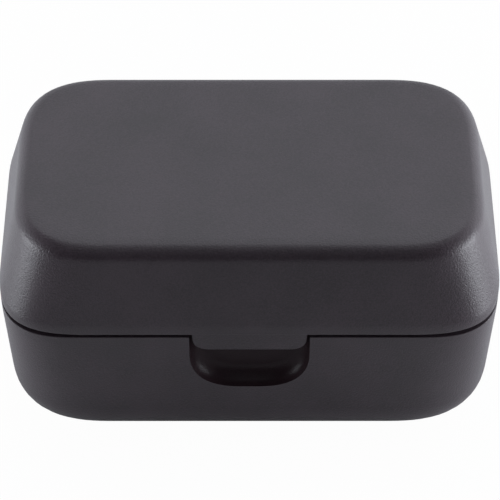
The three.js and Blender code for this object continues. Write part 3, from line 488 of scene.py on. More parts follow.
for x in RIB_PLACES:
    cut(base, bevelled_box("rib", (x - RIB_HALF, x + RIB_HALF), RIB_Y, RIB_Z, edge=RIB_EDGE), "UNION")
cut(base, bevelled_box("snap", SNAP_X, SNAP_Y, SNAP_Z, edge=RIB_EDGE), "UNION")
tell_faces("the base with its ribs", base)

# %% [markdown]
# ## The lid
# The cover is the same kind of skin, from the middle of its top over a small round edge, down the
# leaning walls to an upright band at the seam, and up again inside. A thin skirt at the rim goes
# outside the lip of the base.

# %% Lid
LID_LEAN = math.tan(math.radians(13.6))
LID_EDGE, LID_INNER_EDGE = 3.05, 1
LID_BLEND = 0.8
LID_CORNER = 22.7
TOP = 66.575
SKIRT = 0.9
LIP_ROOM = 0.6


def lid_section(z, inset=0, extra=0):
    gone = inset + round_in(TOP - inset - z, LID_INNER_EDGE if inset else LID_EDGE) + extra
    lean = LID_LEAN * max(0, z - SEAM - LAND)
    return case_section(z, gone, lean, (z - SEAM) / (TOP - SEAM), LID_CORNER)


foot_z = SEAM + RIM
sections = [lid_section(TOP, extra=FACE_IN)]
sections += [lid_section(TOP - z) for z in round_heights(LID_EDGE, 7)[1:]]
sections += [
    lid_section(TOP - LID_EDGE - LID_BLEND),
    lid_section(SEAM + LAND + LID_BLEND),
    lid_section(SEAM + LAND),
    lid_section(foot_z + EDGE_SOFT + RIM_BAND),
]
sections += [lid_section(foot_z + short, extra=gone) for short, gone in quarter(EDGE_SOFT, 3)]
sections += [
    lid_section(foot_z - HAIR, extra=SKIRT),
    lid_section(SEAM + LIP_UP + LIP_ROOM, extra=SKIRT),
    lid_section(SEAM + LIP_UP + LIP_ROOM + HAIR, extra=WALL),
    lid_section(SEAM + LAND, inset=WALL),
]
sections += [lid_section(TOP - WALL - z, inset=WALL) for z in reversed(round_heights(LID_INNER_EDGE, 4))]
sections += [lid_section(TOP - WALL + HAIR, inset=WALL, extra=FACE_IN)]
lid = skin("case_lid_shell", sections)
tell_faces("the lid shell", lid)

# %% [markdown]
# A moulded lid pulls up a little at its ends as it cools, so the seam opens towards the corners. The
# points of the rim are lifted there, the more the nearer they are to an end. Proportional editing does
# this by hand, but a rule in code keeps both ends alike.

# %% Seam that opens at the ends
PULL_FROM, PULL_FULL = 33, 54
RIM_PULL = 0.75
RIM_FOOT, RIM_TOP = foot_z - 0.1, foot_z + EDGE_SOFT + 0.35


def ease(share):
    """A soft start and a soft stop between 0 and 1."""
    share = min(max(share, 0), 1)
    return share * share * (3 - 2 * share)


for point in lid.data.vertices:
    if RIM_FOOT < point.co.z / MM < RIM_TOP:
        share = (abs(point.co.x) / MM - PULL_FROM) / (PULL_FULL - PULL_FROM)
        point.co.z += RIM_PULL * ease(share) * MM
print("the rim is lifted by up to", RIM_PULL, "mm at the ends")

# %% [markdown]
# ## The thumb tab
# The tab is moulded on the lid. It hangs from the inside of the rim, a hair behind the outer face, so
# the rounded edge of the rim still draws a fine line above it. On its back is the bead that snaps
# under the rib of the base.

# %% Tab and bead
TAB_HALF = 13.65
TAB_FOOT, TAB_TOP = SEAM - 5.1, SEAM + LAND - 0.6
TAB_CORNER = 4.4
TAB_EDGE = 0.3
TAB_FRONT, TAB_BACK = FRONT + 0.25, FRONT + 1.8
BEAD_Y, BEAD_Z = (TAB_BACK - 0.5, TAB_BACK + 1.4), (TAB_FOOT + 0.4, TAB_FOOT + 1.6)


def soft_sides(front, back, radius):
    """Levels of a plate pushed along Y with both its edges rounded."""
    near = [(front + short, gone) for short, gone in reversed(quarter(radius, 4))]
    far = [(back - short, gone) for short, gone in quarter(radius, 4)]
    return near + far


tab = upright_block("case_thumb_tab", TAB_HALF, 2 * TAB_TOP - TAB_FOOT, TAB_FOOT, TAB_CORNER,
                    soft_sides(TAB_FRONT, TAB_BACK, TAB_EDGE))
cut_above(tab, TAB_TOP)
cut(tab, bevelled_box("bead", SNAP_X, BEAD_Y, BEAD_Z, edge=TAB_EDGE), "UNION")
tell_faces("the tab", tab)

# %% [markdown]
# ## Soft edges and seats
# A mould leaves no edge quite sharp, so a fine bevel goes round the finished pieces. A piece then rides
# on its CAD body and takes the place of the solid that it was made after.

# %% Helpers for finished pieces
SMOOTH_UNDER = 40
SHARP_OVER = 50


def finish_smooth(piece, degrees=SMOOTH_UNDER):
    pick_only(piece)
    bpy.ops.object.shade_smooth_by_angle(angle=math.radians(degrees))


def soften(piece, width):
    """A fine bevel on every sharp edge, with the normals weighted so that the flats stay flat."""
    modify(piece, "BEVEL", width=width * MM, segments=2, limit_method="ANGLE",
           angle_limit=math.radians(SHARP_OVER))
    finish_smooth(piece)
    modify(piece, "WEIGHTED_NORMAL", keep_sharp=True)


def seat(piece, body, *nodes):
    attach(piece, body)
    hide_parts(*nodes)


print("edges over", SHARP_OVER, "degrees are softened")

# %% [markdown]
# ## The hinge
# Five knuckles on one steel pin at the back of the seam: three belong to the base, two to the lid. A
# knuckle is one outline, a barrel with the sloping gusset that ties it to its wall, pushed along the
# pin, bored and softened. A cylinder joined to a block would do too, but leaves a ragged line between
# them. Each wall is hollowed where the other half's knuckles turn.

# %% Knuckles
HINGE_Y = 36.3
KNUCKLE, KNUCKLE_EDGE = 2.5, 0.3
PIN_BORE = 1.15
GUSSET_TALL, GUSSET_DEEP = 7, 0.6
BARREL_FROM, BARREL_TO = 0.65, math.radians(-210)
BARREL_STEPS = 40
ROOM_BESIDE, ROOM_ROUND = 0.3, 0.4
ROD_SIDES, BORE_SIDES = 48, 32
# spans along the pin, down or up, body, solid, wall of the other half
HINGE_HALVES = [
    ([(-28, -18.2), (-4.8, 4.8), (18.2, 28)], -1, "base", "case_base", lid),
    ([(-17.6, -5.4), (5.4, 17.6)], 1, "lid", "case_lid", base),
]


def rod(name, radius, length, middle, along_x=False, sides=ROD_SIDES):
    """A cylinder, upright or along X. Its radius and length are in mm and its middle in metres."""
    bpy.ops.object.select_all(action="DESELECT")
    bpy.ops.mesh.primitive_cylinder_add(vertices=sides, radius=radius * MM, depth=length * MM)
    piece = named(name)
    bpy.ops.object.mode_set(mode="EDIT")
    if along_x:
        bpy.ops.transform.rotate(value=math.pi / 2, orient_axis="Y", center_override=(0, 0, 0))
    bpy.ops.transform.translate(value=middle)
    bpy.ops.object.mode_set(mode="OBJECT")
    return piece


def rod_on_pin(name, x0, x1, radius, sides=ROD_SIDES):
    middle = ((x0 + x1) / 2 * MM, HINGE_Y * MM, SEAM * MM)
    return rod(name, radius, x1 - x0, middle, True, sides)


def knuckle(name, x0, x1, side):
    """A knuckle with its gusset: side -1 goes down to the base wall, 1 goes up to the lid wall."""
    lean = (LID_LEAN if side > 0 else BASE_LEAN) * (GUSSET_TALL - LAND)
    corners = [(HALF_DEPTH - lean - GUSSET_DEEP, GUSSET_TALL), (HALF_DEPTH - lean, GUSSET_TALL)]
    for i in range(BARREL_STEPS + 1):
        turn = BARREL_FROM + (BARREL_TO - BARREL_FROM) * i / BARREL_STEPS
        corners.append((HINGE_Y + KNUCKLE * math.cos(turn), KNUCKLE * math.sin(turn)))
    bpy.ops.object.select_all(action="DESELECT")
    bpy.ops.mesh.primitive_circle_add(vertices=len(corners), radius=1, fill_type="NGON")
    piece = named(name)
    for point, (y, up) in zip(piece.data.vertices, corners):
        point.co = Vector((x0, y, SEAM + side * up)) * MM
    bpy.ops.object.mode_set(mode="EDIT")
    bpy.ops.mesh.select_all(action="SELECT")
    bpy.ops.mesh.extrude_region_move(TRANSFORM_OT_translate={"value": ((x1 - x0) * MM, 0, 0)})
    end_piece()
    cut(piece, rod_on_pin("bore", x0 - 1, x1 + 1, PIN_BORE, BORE_SIDES))
    soften(piece, KNUCKLE_EDGE)
    return piece


knuckles = []
for spans, side, body, node, wall in HINGE_HALVES:
    for i, (x0, x1) in enumerate(spans):
        cut(wall, rod_on_pin("turning_room", x0 - ROOM_BESIDE, x1 + ROOM_BESIDE, KNUCKLE + ROOM_ROUND))
        piece = knuckle(f"{body}_knuckle_{i + 1}", x0, x1, side)
        seat(piece, body, node)
        knuckles.append(piece)
tell_faces("the knuckles", *knuckles)

# %% [markdown]
# The shell, the lid and the tab have their soft edges already. They are shaded smooth over these and
# stay crisp where two faces meet at more than the smoothing angle.

# %% Case pieces ride on their bodies
for piece, body, node in ((base, "base", "case_base"), (lid, "lid", "case_lid"), (tab, "lid", "case_lid")):
    finish_smooth(piece)
    seat(piece, body, node)
print("case base, lid and tab are in place")

# %% [markdown]
# ## The monitor's housing
# With the lid open the monitor shows, lying on its wound cuff. Its body is two moulded halves that meet
# at a fine gap. Each half is a skin like the lid, begun at its closed face, round the soft edge, down
# to the gap and back inside. Round corners suit a body that lies on a wrist, so the profile is 0.5.

# %% Monitor halves
MONITOR_FOOT, MONITOR_TOP = 41.025, 59.075
MONITOR_HALF = (44, 28)
MONITOR_CORNER = 8
MONITOR_EDGE = 2.6
HOUSING_WALL = 1.6
GAP_FOOT, GAP_TOP = 49.9, 50.2
GAP_BAND, GAP_EDGE, GAP_TURN = 0.6, 0.25, 0.07
ROUND = 0.5


def housing_section(up, inset=0, extra=0):
    """An outline at a distance from the closed face of a half."""
    gone = inset + extra + round_in(up - inset, MONITOR_EDGE - inset)
    return (MONITOR_HALF[0] - gone, MONITOR_HALF[1] - gone, MONITOR_CORNER - gone, up)


def closed_end():
    """Outlines of a half from its closed face round its soft edge."""
    rounded = [housing_section(up) for up in round_heights(MONITOR_EDGE, 8)[1:]]
    return [housing_section(0, extra=FACE_IN)] + rounded


def housing_half(name, deep, level):
    """A hollow half, where level turns a distance from its closed face into a height."""
    parts = closed_end()
    parts += [housing_section(deep - GAP_BAND), housing_section(deep - GAP_EDGE)]
    parts += [housing_section(deep - GAP_TURN, extra=GAP_TURN), housing_section(deep, extra=GAP_EDGE)]
    parts += [housing_section(deep - HAIR, inset=HOUSING_WALL)]
    inside = reversed(round_heights(MONITOR_EDGE - HOUSING_WALL, 4))
    parts += [housing_section(HOUSING_WALL + up, inset=HOUSING_WALL) for up in inside]
    parts += [housing_section(HOUSING_WALL - HAIR, inset=HOUSING_WALL, extra=FACE_IN)]
    return skin(name, [(w, d, corner, level(up)) for w, d, corner, up in parts], ROUND)


top_half = housing_half("monitor_top_shell", MONITOR_TOP - GAP_TOP, lambda up: MONITOR_TOP - up)
bottom_half = housing_half("monitor_bottom_shell", GAP_FOOT - MONITOR_FOOT, lambda up: MONITOR_FOOT + up)
tell_faces("the housing", top_half, bottom_half)

# %% [markdown]
# ## Posts and openings
# The screws come up through posts in the lower half into bosses in the upper one. A post is a cylinder
# joined to the half, then cut out for the head and the shank of its screw.

# %% Screw posts
SCREWS = [(x, y) for x in (-39, 12.8) for y in (-23.5, 23.5)]
POST, HEAD_ROOM, SHANK_ROOM = 3.2, 2.1, 1.3
BOSS, BOSS_BORE = 2.4, 1.25


def rod_up(name, x, y, radius, low, high, sides=ROD_SIDES):
    return rod(name, radius, high - low, Vector((x, y, (low + high) / 2)) * MM, False, sides)


for x, y in SCREWS:
    cut(bottom_half, rod_up("post", x, y, POST, MONITOR_FOOT + 1, GAP_FOOT - 0.3), "UNION")
    cut(bottom_half, rod_up("head_room", x, y, HEAD_ROOM, MONITOR_FOOT - 1, MONITOR_FOOT + 1.9))
    cut(bottom_half, rod_up("shank_room", x, y, SHANK_ROOM, MONITOR_FOOT, GAP_FOOT + 1))
    cut(top_half, rod_up("boss", x, y, BOSS, GAP_TOP + 0.1, MONITOR_TOP - 1), "UNION")
    cut(top_half, rod_up("bore", x, y, BOSS_BORE, GAP_TOP - 1, MONITOR_TOP - 3))
print("posts and bosses:", 2 * len(SCREWS))

# %% [markdown]
# The window lies in a shallow pocket, and holes let the buttons, the cells and the air nipple through.
# They could be drawn into the mesh by hand, but a Boolean keeps each edge where the solid has it.

# %% Openings of the housing
WINDOW_X = -12
WINDOW_HALF = (28.5, 23.25)
WINDOW_CORNER = 5.5
WINDOW_FOOT, WINDOW_TOP = 58.075, 58.975
WINDOW_BED = WINDOW_FOOT - 0.15
VIEW_HALF, VIEW_CORNER = (23, 17.5), 1.5
PLAY = 0.3
START_AT, START_RADIUS = (30, 8), 8.4
MEMORY_AT, USER_AT, SMALL_RADIUS = (24.2, -13), (35.8, -13), 4.2
BUTTON_SIDES = 96
CELL_ROOM, CELL_ROOM_EDGE = [(41.4, 46), (-23, 23), (42.775, 53.575)], 0.3
NIPPLE_AT, NIPPLE_HOLE = (-20, 6), 2.3
HOUSING_SOFT = 0.15
OVER_TOP = MONITOR_TOP + 1


def slab(name, half, corner, low, high):
    return skin(name, [(*half, corner, low), (*half, corner, high)], ROUND, WINDOW_X)


pocket_half = [half + PLAY for half in WINDOW_HALF]
cut(top_half, slab("window_pocket", pocket_half, WINDOW_CORNER + PLAY, WINDOW_BED, OVER_TOP))
cut(top_half, slab("view", VIEW_HALF, VIEW_CORNER, WINDOW_FOOT - 3, OVER_TOP))
for (x, y), radius in ((START_AT, START_RADIUS), (MEMORY_AT, SMALL_RADIUS), (USER_AT, SMALL_RADIUS)):
    cut(top_half, rod_up("button_hole", x, y, radius + PLAY, MONITOR_TOP - 4, OVER_TOP, BUTTON_SIDES))
for half in (top_half, bottom_half):
    cut(half, bevelled_box("cell_room", *CELL_ROOM, edge=CELL_ROOM_EDGE))
cut(bottom_half, rod_up("nipple_hole", *NIPPLE_AT, NIPPLE_HOLE, MONITOR_FOOT - 1, MONITOR_FOOT + 3))
for half, node in ((top_half, "monitor_top_housing"), (bottom_half, "monitor_bottom_housing")):
    soften(half, HOUSING_SOFT)
    seat(half, "base", node)
tell_faces("the housing with its openings", top_half, bottom_half)

# %% [markdown]
# ## The window
# A clear plate with a rounded front edge, printed black round the display from behind. The plate is
# one skin. The black border is left to its finish, because it is ink and has no thickness of its own.

# %% Window plate
WINDOW_EDGE, WINDOW_CROWN = 0.35, 0.005
WINDOW_TURNS = (0.4, 0.8, 1.2, math.pi / 2)
BACK_EDGE_IN, BACK_EDGE_UP = 0.25, 0.2


def window_section(inset, z):
    return (WINDOW_HALF[0] - inset, WINDOW_HALF[1] - inset, WINDOW_CORNER - inset, z)


rises = [(BACK_EDGE_IN, WINDOW_FOOT), (0, WINDOW_FOOT + BACK_EDGE_UP), (0, WINDOW_TOP - WINDOW_EDGE)]
for turn in WINDOW_TURNS:
    inset = WINDOW_EDGE * (1 - math.cos(turn))
    rises.append((inset, WINDOW_TOP - WINDOW_EDGE * (1 - math.sin(turn))))
rises.append((FACE_IN, WINDOW_TOP + WINDOW_CROWN))
window = skin("monitor_window", [window_section(*rise) for rise in rises], ROUND, WINDOW_X)
finish_smooth(window)
seat(window, "base", "display_window")
tell_faces("the window", window)

# %% [markdown]
# ## The buttons
# Each cap is a turned form: a flange that keeps it in the housing, an upright side and a shaped top.
# The large one has a ring groove and a low crown, and the two small ones are dished for a fingertip.
# Spinning a profile would do the same, but circles bridged one after another need no closing seam.

# %% Button caps
BUTTON_FOOT = 56.675
# radius, height over the foot
START_RINGS = [
    (9.2, 0), (9.2, 0.5), (8.4, 0.52), (8.4, 2.2), (8.34, 2.4), (8.18, 2.55), (7.9, 2.62), (7.3, 2.65),
    (7.2, 2.62), (7.12, 2.5), (6.68, 2.5), (6.6, 2.64), (6.5, 2.68), (4.6, 2.78), (2.4, 2.86), (0.6, 2.89),
]
SMALL_RINGS = [
    (5, 0), (5, 0.5), (4.2, 0.52), (4.2, 2.5), (4.14, 2.7), (3.98, 2.84), (3.7, 2.9), (3.3, 2.86),
    (2.6, 2.75), (1.7, 2.66), (0.5, 2.62),
]
BUTTONS = [
    ("start_button", START_RINGS, START_AT),
    ("memory_button", SMALL_RINGS, MEMORY_AT),
    ("user_button", SMALL_RINGS, USER_AT),
]


def turned(name, rings, middle):
    """A round body through circles of (radius, height over the button's foot), in mm."""
    piece = start_piece(name)
    for i, (radius, up) in enumerate(rings):
        place = Vector((*middle, BUTTON_FOOT + up)) * MM
        bpy.ops.mesh.primitive_circle_add(vertices=BUTTON_SIDES, radius=radius * MM, location=place)
        join_outline(piece, i, Z_AXIS, BUTTON_FOOT)
    close_body()
    finish_smooth(piece)
    return piece


caps = []
for body, rings, middle in BUTTONS:
    cap = turned(f"{body}_cap", rings, middle)
    seat(cap, body, body)
    caps.append(cap)
tell_faces("the buttons", *caps)

# %% [markdown]
# ## The battery cover
# A plate closes the cell room in the right end and follows the rounded end of the housing. It starts
# as a bevelled box, is cut to the form of the whole housing, and gets three ribs for a thumb to push.

# %% Battery cover
COVER_BOX = [(42.6, 46), (-22.7, 22.7), (43.075, 53.275)]
COVER_EDGE, COVER_SOFT = 0.3, 0.12
CELL_LEVEL = 48.175
GRIP_ROWS, GRIP_HALF = (-2.2, 0, 2.2), 0.45
GRIP_X, GRIP_Y = (43.5, 44.48), (-8, 8)

door = bevelled_box("monitor_battery_cover", *COVER_BOX, edge=COVER_EDGE)
whole = [(w, d, corner, MONITOR_FOOT + up) for w, d, corner, up in closed_end()]
whole.append((*MONITOR_HALF, MONITOR_CORNER, MONITOR_TOP))
cut(door, skin("whole", whole, ROUND), "INTERSECT")
for row in GRIP_ROWS:
    grip_z = (CELL_LEVEL + row - GRIP_HALF, CELL_LEVEL + row + GRIP_HALF)
    cut(door, bevelled_box("grip", GRIP_X, GRIP_Y, grip_z, edge=RIB_EDGE), "UNION")
soften(door, COVER_SOFT)
seat(door, "battery_cover", "battery_cover")
tell_faces("the battery cover", door)

# %% [markdown]
# ## The cuff
# The cuff is a long soft strip wound to a loop under the monitor: an outer tail on the ribs of the base,
# a turn on the right, the run under the monitor, a turn on the left and an inner tail. The line of its
# outer face is walked once, and each layer is a strip at its own depth behind that line. A flat strip
# could be bent by a curve modifier, but its layers would then drift out of the room they have.

# %% The line of the cuff
# x, z, radius
RIGHT_TURN = (25.05, 22.775, 17.95)
LEFT_TURN = (-26.65, 24.375, 16.35)
CUFF_ENDS = (-20, 14)


def on_turn(turn, angle):
    x, z, radius = turn
    return (x + radius * math.cos(angle), z + radius * math.sin(angle), -math.cos(angle), -math.sin(angle))


def wound(start, end):
    """Runs of (length, point at a distance) from an x on the outer tail to an x on the inner tail."""
    x1, z1, r1 = RIGHT_TURN
    x2, z2, r2 = LEFT_TURN
    return [
        (x1 - start, lambda far: (start + far, z1 - r1, 0, 1)),
        (math.pi * r1, lambda far: on_turn(RIGHT_TURN, far / r1 - math.pi / 2)),
        (x1 - x2, lambda far: (x1 - far, z1 + r1, 0, -1)),
        (math.pi * r2, lambda far: on_turn(LEFT_TURN, far / r2 + math.pi / 2)),
        (end - x2, lambda far: (x2 + far, z2 - r2, 0, 1)),
    ]


def point_on(runs, far):
    """The point at a distance along the runs, with the direction towards the inside of the loop."""
    for length, point in runs:
        if far <= length or point is runs[-1][1]:
            break
        far -= length
    return point(far)


# %% [markdown]
# A strip is a closed mesh with an outer and an inner side and a rim between them. Its points lie closer
# together at the hems, where the cloth rolls over. Each point keeps its place on the flat strip as a
# map in metres, so that a weave can follow the cloth.

# %% Helpers for strips
HEM_STEPS = [0, 0.05, 0.2, 0.45, 0.7, 1.5, 2.6, 3.0, 3.3, 3.6, 4.2]
STEP_ALONG, STEP_ACROSS = 1.4, 2


def edge_steps(whole, step):
    """Distances across a strip, close together at its two hems."""
    hem = HEM_STEPS[-1]
    inner = round((whole - 2 * hem) / step)
    middle = [hem + (whole - 2 * hem) * i / inner for i in range(1, inner)]
    return HEM_STEPS + middle + [whole - far for far in reversed(HEM_STEPS)]


def strip_faces(tall, wide):
    """Faces of two grids of points, the second turned over, and of the rim that joins them."""
    side = tall * wide
    faces = []
    for i in range(tall - 1):
        for j in range(wide - 1):
            a = i * wide + j
            faces.append((a, a + 1, a + wide + 1, a + wide))
            faces.append((side + a, side + a + wide, side + a + wide + 1, side + a + 1))
    rim = list(range(wide)) + [i * wide + wide - 1 for i in range(1, tall)]
    rim += [side - 1 - j for j in range(1, wide)] + [i * wide for i in range(tall - 2, 0, -1)]
    return faces + [(a, side + a, side + b, b) for a, b in zip(rim, rim[1:] + rim[:1])]


def strip(name, runs, half, outer, inner):
    """A closed strip between two depths, functions of (distance to the nearest edge, along, across)."""
    along = sum(length for length, point in runs)
    rows, columns = edge_steps(along, STEP_ALONG), edge_steps(2 * half, STEP_ACROSS)
    points, flat = [], []
    for depth in (outer, inner):
        for far in rows:
            x, z, in_x, in_z = point_on(runs, far)
            for across in columns:
                margin = min(far, along - far, across, 2 * half - across)
                deep = depth(margin, far, across - half)
                points.append(Vector((x + in_x * deep, across - half, z + in_z * deep)) * MM)
                flat.append((far * MM, (across - half) * MM))
    mesh = bpy.data.meshes.new(name)
    mesh.from_pydata(points, [], strip_faces(len(rows), len(columns)))
    cloth = mesh.uv_layers.new(name="cloth")
    for loop in mesh.loops:
        cloth.data[loop.index].uv = flat[loop.vertex_index]
    piece = bpy.data.objects.new(name, mesh)
    bpy.context.scene.collection.objects.link(piece)
    pick_only(piece)
    bpy.ops.object.mode_set(mode="EDIT")
    end_piece()
    return piece


# %% [markdown]
# The cover is woven nylon with a bound edge: the hem is a little thicker than the cloth and rolls over
# at the rim. The lining behind it is a soft bladder, welded thin along its edges and across its
# length, and crowned between. The hook pad is a flat tape on the inside of the outer tail. A cloth
# simulation could crown the bladder, but it would push through the layers that lie close to it.

# %% Cuff layers
CUFF_HALF = 26
HEM_WIDE, HEM_FADE, HEM_THICK = 3.0, 0.6, 0.14
COVER_ROLL, LINING_ROLL, TAPE_ROLL = 0.7, 0.2, 0.3
COVER_OUTER, COVER_INNER = 0.2, 1.4
LINING_ENDS, LINING_HALF, LINING_OUTER = (24.05, 11), CUFF_HALF - 0.2, 3.3
WELD_PITCH, WELD_WIDE, WELD_DROP = 24, 1.6, 0.45
WELD_THICK, CROWN, CROWN_FULL = 0.5, 2.2, 9
TAPE_START, TAPE_LENGTH, TAPE_HALF = -17, 28, 23
TAPE_OUTER, TAPE_INNER = 1.95, 2.85
RIPPLE, RIPPLE_ALONG, RIPPLE_ACROSS = 0.04, 7, 6
NIPPLE_IN_COVER, NIPPLE_IN_LINING = (38.9, 42), (33.5, 38)
CLOTH_SMOOTH = 50


def hem(margin):
    """How much thicker the cloth is near its edge, on each side."""
    return HEM_THICK * (1 - ease((margin - HEM_WIDE) / HEM_FADE))


def ripple(far, across):
    return RIPPLE * math.sin(far / RIPPLE_ALONG) * math.cos(across / RIPPLE_ACROSS)


def pillow(margin, far):
    """The inner face of the lining: thin at its margin and at the cross welds, and crowned between."""
    weld = math.exp(-((far % WELD_PITCH - WELD_PITCH / 2) / WELD_WIDE) ** 2)
    return LINING_OUTER + (WELD_THICK + CROWN * ease(margin / CROWN_FULL) * (1 - WELD_DROP * weld))


def cover_outer(margin, far, across):
    return COVER_OUTER - hem(margin) + round_in(margin, COVER_ROLL) + ripple(far, across)


def cover_inner(margin, far, across):
    return COVER_INNER + hem(margin) - round_in(margin, COVER_ROLL) + ripple(far, across)


cover = strip("cuff_cover_cloth", wound(*CUFF_ENDS), CUFF_HALF, cover_outer, cover_inner)
bladder = strip("cuff_bladder_lining", wound(*LINING_ENDS), LINING_HALF,
                lambda margin, far, across: LINING_OUTER + round_in(margin, LINING_ROLL),
                lambda margin, far, across: pillow(margin, far) - round_in(margin, LINING_ROLL))
tape_run = [(TAPE_LENGTH, lambda far: (far + TAPE_START, RIGHT_TURN[1] - RIGHT_TURN[2], 0, 1))]
hook_tape = strip("cuff_hook_tape", tape_run, TAPE_HALF,
                  lambda margin, far, across: TAPE_OUTER + round_in(margin, TAPE_ROLL),
                  lambda margin, far, across: TAPE_INNER - round_in(margin, TAPE_ROLL))
cut(cover, rod_up("nipple_room", *NIPPLE_AT, NIPPLE_HOLE, *NIPPLE_IN_COVER))
cut(bladder, rod_up("nipple_room", *NIPPLE_AT, NIPPLE_HOLE, *NIPPLE_IN_LINING))
for piece, node in ((cover, "cuff_cover"), (bladder, "cuff_bladder"), (hook_tape, "cuff_hook_pad")):
    finish_smooth(piece, CLOTH_SMOOTH)
    seat(piece, "base", node)
tell_faces("the cuff", cover, bladder, hook_tape)

# %% [markdown]
# ## Finishes
# Every finish is made of nodes. Most read Object coordinates, which are metres in the shared frame, so a
# grain has its true size on every piece. A few short helpers add the nodes that all finishes share:
# a noise, a ramp between two colours, a spread between two numbers and a bump. A socket knows the node
# tree that it belongs to, so a helper looks it up there.

# %% Helpers for finishes
def start_finish(name):
    """A new material, its shader and the coordinates that it can read."""
    material = bpy.data.materials.new(name)
    material.use_nodes = True
    tree = material.node_tree
    return material, tree.nodes["Principled BSDF"], add_node(tree, "TexCoord")


def feed(node, name, value):
    node.id_data.links.new(value, node.inputs[name])


def noise(where, scale, detail=2):
    inputs = {"Vector": where, "Scale": scale, "Detail": detail}
    return add_node(where.id_data, "TexNoise", inputs)["Fac"]


def ramp(value, low, high, start=0.3, stop=0.7):
    node = value.id_data.nodes.new("ShaderNodeValToRGB")
    for element, position, colour in zip(node.color_ramp.elements, (start, stop), (low, high)):
        element.position = position
        element.color = (*colour, 1)
    feed(node, "Fac", value)
    return node.outputs["Color"]


def spread(value, low, high, start=0, stop=1):
    levels = {"Value": value, "From Min": start, "From Max": stop, "To Min": low, "To Max": high}
    return add_node(value.id_data, "MapRange", levels)["Result"]


def sums(operation, first, second=0):
    return add_node(first.id_data, "Math", {0: first, 1: second}, operation=operation)[0]


def shares(first, first_share, second, second_share):
    """The sum of two values, each times its share."""
    one = sums("MULTIPLY", first, first_share)
    return sums("ADD", one, sums("MULTIPLY", second, second_share))


def surface(shade, colour, roughness):
    feed(shade, "Base Color", colour)
    feed(shade, "Roughness", roughness)


def relief(shade, height, strength, distance=0.0001):
    inputs = {"Height": height, "Strength": strength, "Distance": distance}
    feed(shade, "Normal", add_node(shade.id_data, "Bump", inputs)["Normal"])


print("finish helpers ready")

# %% [markdown]
# Moulded plastic has a slightly cloudy colour, and a fine spark-eroded grain from its mould that spreads
# the shine. One function makes all the plastics, each with its own two tones, gloss and grain. The
# scoop has a finer grain, and darker tones and a weaker shine that are painted shade for the deep
# recess, so it gets a plastic of its own.

# %% Plastics
CLOUD = 60
# The scoop's weaker shine is painted shade, like its darker tones.
SCOOP_SHINE = 0.14
# dark tone, light tone, gloss, grain, depth of the grain
PLASTICS = {
    "case_plastic": ((0.0272, 0.0189, 0.0243), (0.0488, 0.0339, 0.0436), (0.29, 0.41), 2500, 0.9),
    # the scoop's darker tones are painted shade in the recess
    "scoop_painted_shade_plastic": ((0.0225, 0.0132, 0.0162), (0.0300, 0.0176, 0.0216), (0.26, 0.34), 3200, 0.6),
    "housing_plastic": ((0.068, 0.072, 0.083), (0.078, 0.083, 0.095), (0.36, 0.46), 2600, 0.25),
    "button_plastic": ((0.46, 0.47, 0.50), (0.50, 0.51, 0.54), (0.34, 0.42), 4000, 0.12),
    "part_plastic": ((0.60, 0.60, 0.57), (0.67, 0.67, 0.64), (0.40, 0.50), 2000, 0.15),
    "chip_plastic": ((0.006, 0.006, 0.007), (0.010, 0.010, 0.011), (0.50, 0.64), 6000, 0.4),
    "tube_rubber": ((0.49, 0.45, 0.37), (0.55, 0.50, 0.42), (0.55, 0.68), 1500, 0.1),
}


def moulded(name, dark, light, gloss, grain, depth):
    material, shade, place = start_finish(name)
    where = place["Object"]
    cloud = noise(where, CLOUD, detail=4)
    fine = noise(where, grain)
    tone = ramp(shares(cloud, 0.4, fine, 0.6), dark, light, 0.38, 0.62)
    surface(shade, tone, spread(fine, *gloss))
    relief(shade, fine, depth)
    return material


plastics = {name: moulded(name, *look) for name, look in PLASTICS.items()}
# The scoop's lower shine darkens it as painted shade.
scoop_shade = plastics["scoop_painted_shade_plastic"].node_tree.nodes["Principled BSDF"]
scoop_shade.inputs["Specular IOR Level"].default_value = SCOOP_SHINE
print("plastics:", len(plastics))

# %% [markdown]
# The window is clear where the display shows and black round it. A mask from the distance to the middle
# of the view opens the ink, and also lets the light through there. The panel behind it is blank, a
# grey-green glass with faint vertical clouds.

# %% Window and panel
INK_FROM, INK_FULL = 0.6, 0.5


def axes(where):
    """The first two coordinates of a place."""
    parts = add_node(where.id_data, "SeparateXYZ", {0: where})
    return parts["X"], parts["Y"]


def stretched(where, scale):
    return add_node(where.id_data, "Mapping", {"Vector": where, "Scale": scale})["Vector"]


def clear_span(distance, half):
    """1 within a span, given by its half in mm, and 0 past it."""
    far = sums("ABSOLUTE", distance)
    return spread(far, 1, 0, (half - INK_FROM) * MM, (half - INK_FULL) * MM)


def clear_window():
    material, shade, place = start_finish("window_plastic")
    x, y = axes(place["Object"])
    in_width = clear_span(sums("SUBTRACT", x, WINDOW_X * MM), VIEW_HALF[0])
    in_depth = clear_span(y, VIEW_HALF[1])
    view = sums("MULTIPLY", in_width, in_depth)
    colour = ramp(view, (0.004, 0.0045, 0.005), (0.92, 0.93, 0.92), 0.4, 0.6)
    smear = noise(place["Object"], 45, detail=5)
    surface(shade, colour, spread(smear, 0.0, 0.03))
    feed(shade, "Transmission Weight", view)
    return material


def blank_panel():
    material, shade, place = start_finish("lcd_glass")
    cloud = noise(stretched(place["Object"], (1, 0.25, 1)), 120, detail=3)
    colour = ramp(cloud, (0.27, 0.31, 0.25), (0.32, 0.37, 0.30))
    surface(shade, colour, spread(cloud, 0.16, 0.24))
    return material


window_plastic = clear_window()
lcd_glass = blank_panel()
print("window and panel finishes made")

# %% [markdown]
# Plated steel shows fine drawn lines along one axis, so its noise is stretched. The cells are sleeved in
# plain film that stops short of one end. The board is green lacquer over glass cloth with paler
# lines where the copper runs, which the edges of a cell pattern give.

# %% Metal, cells and board
SLEEVE_END, SLEEVE_EDGE = 23.2, 23.4


def mixed(share, first, second, way="MIX"):
    """Two colours mixed by a share, or in another way."""
    tones = {"Factor": share, 6: first, 7: second}
    return add_node(first.id_data, "Mix", tones, data_type="RGBA", blend_type=way)[2]


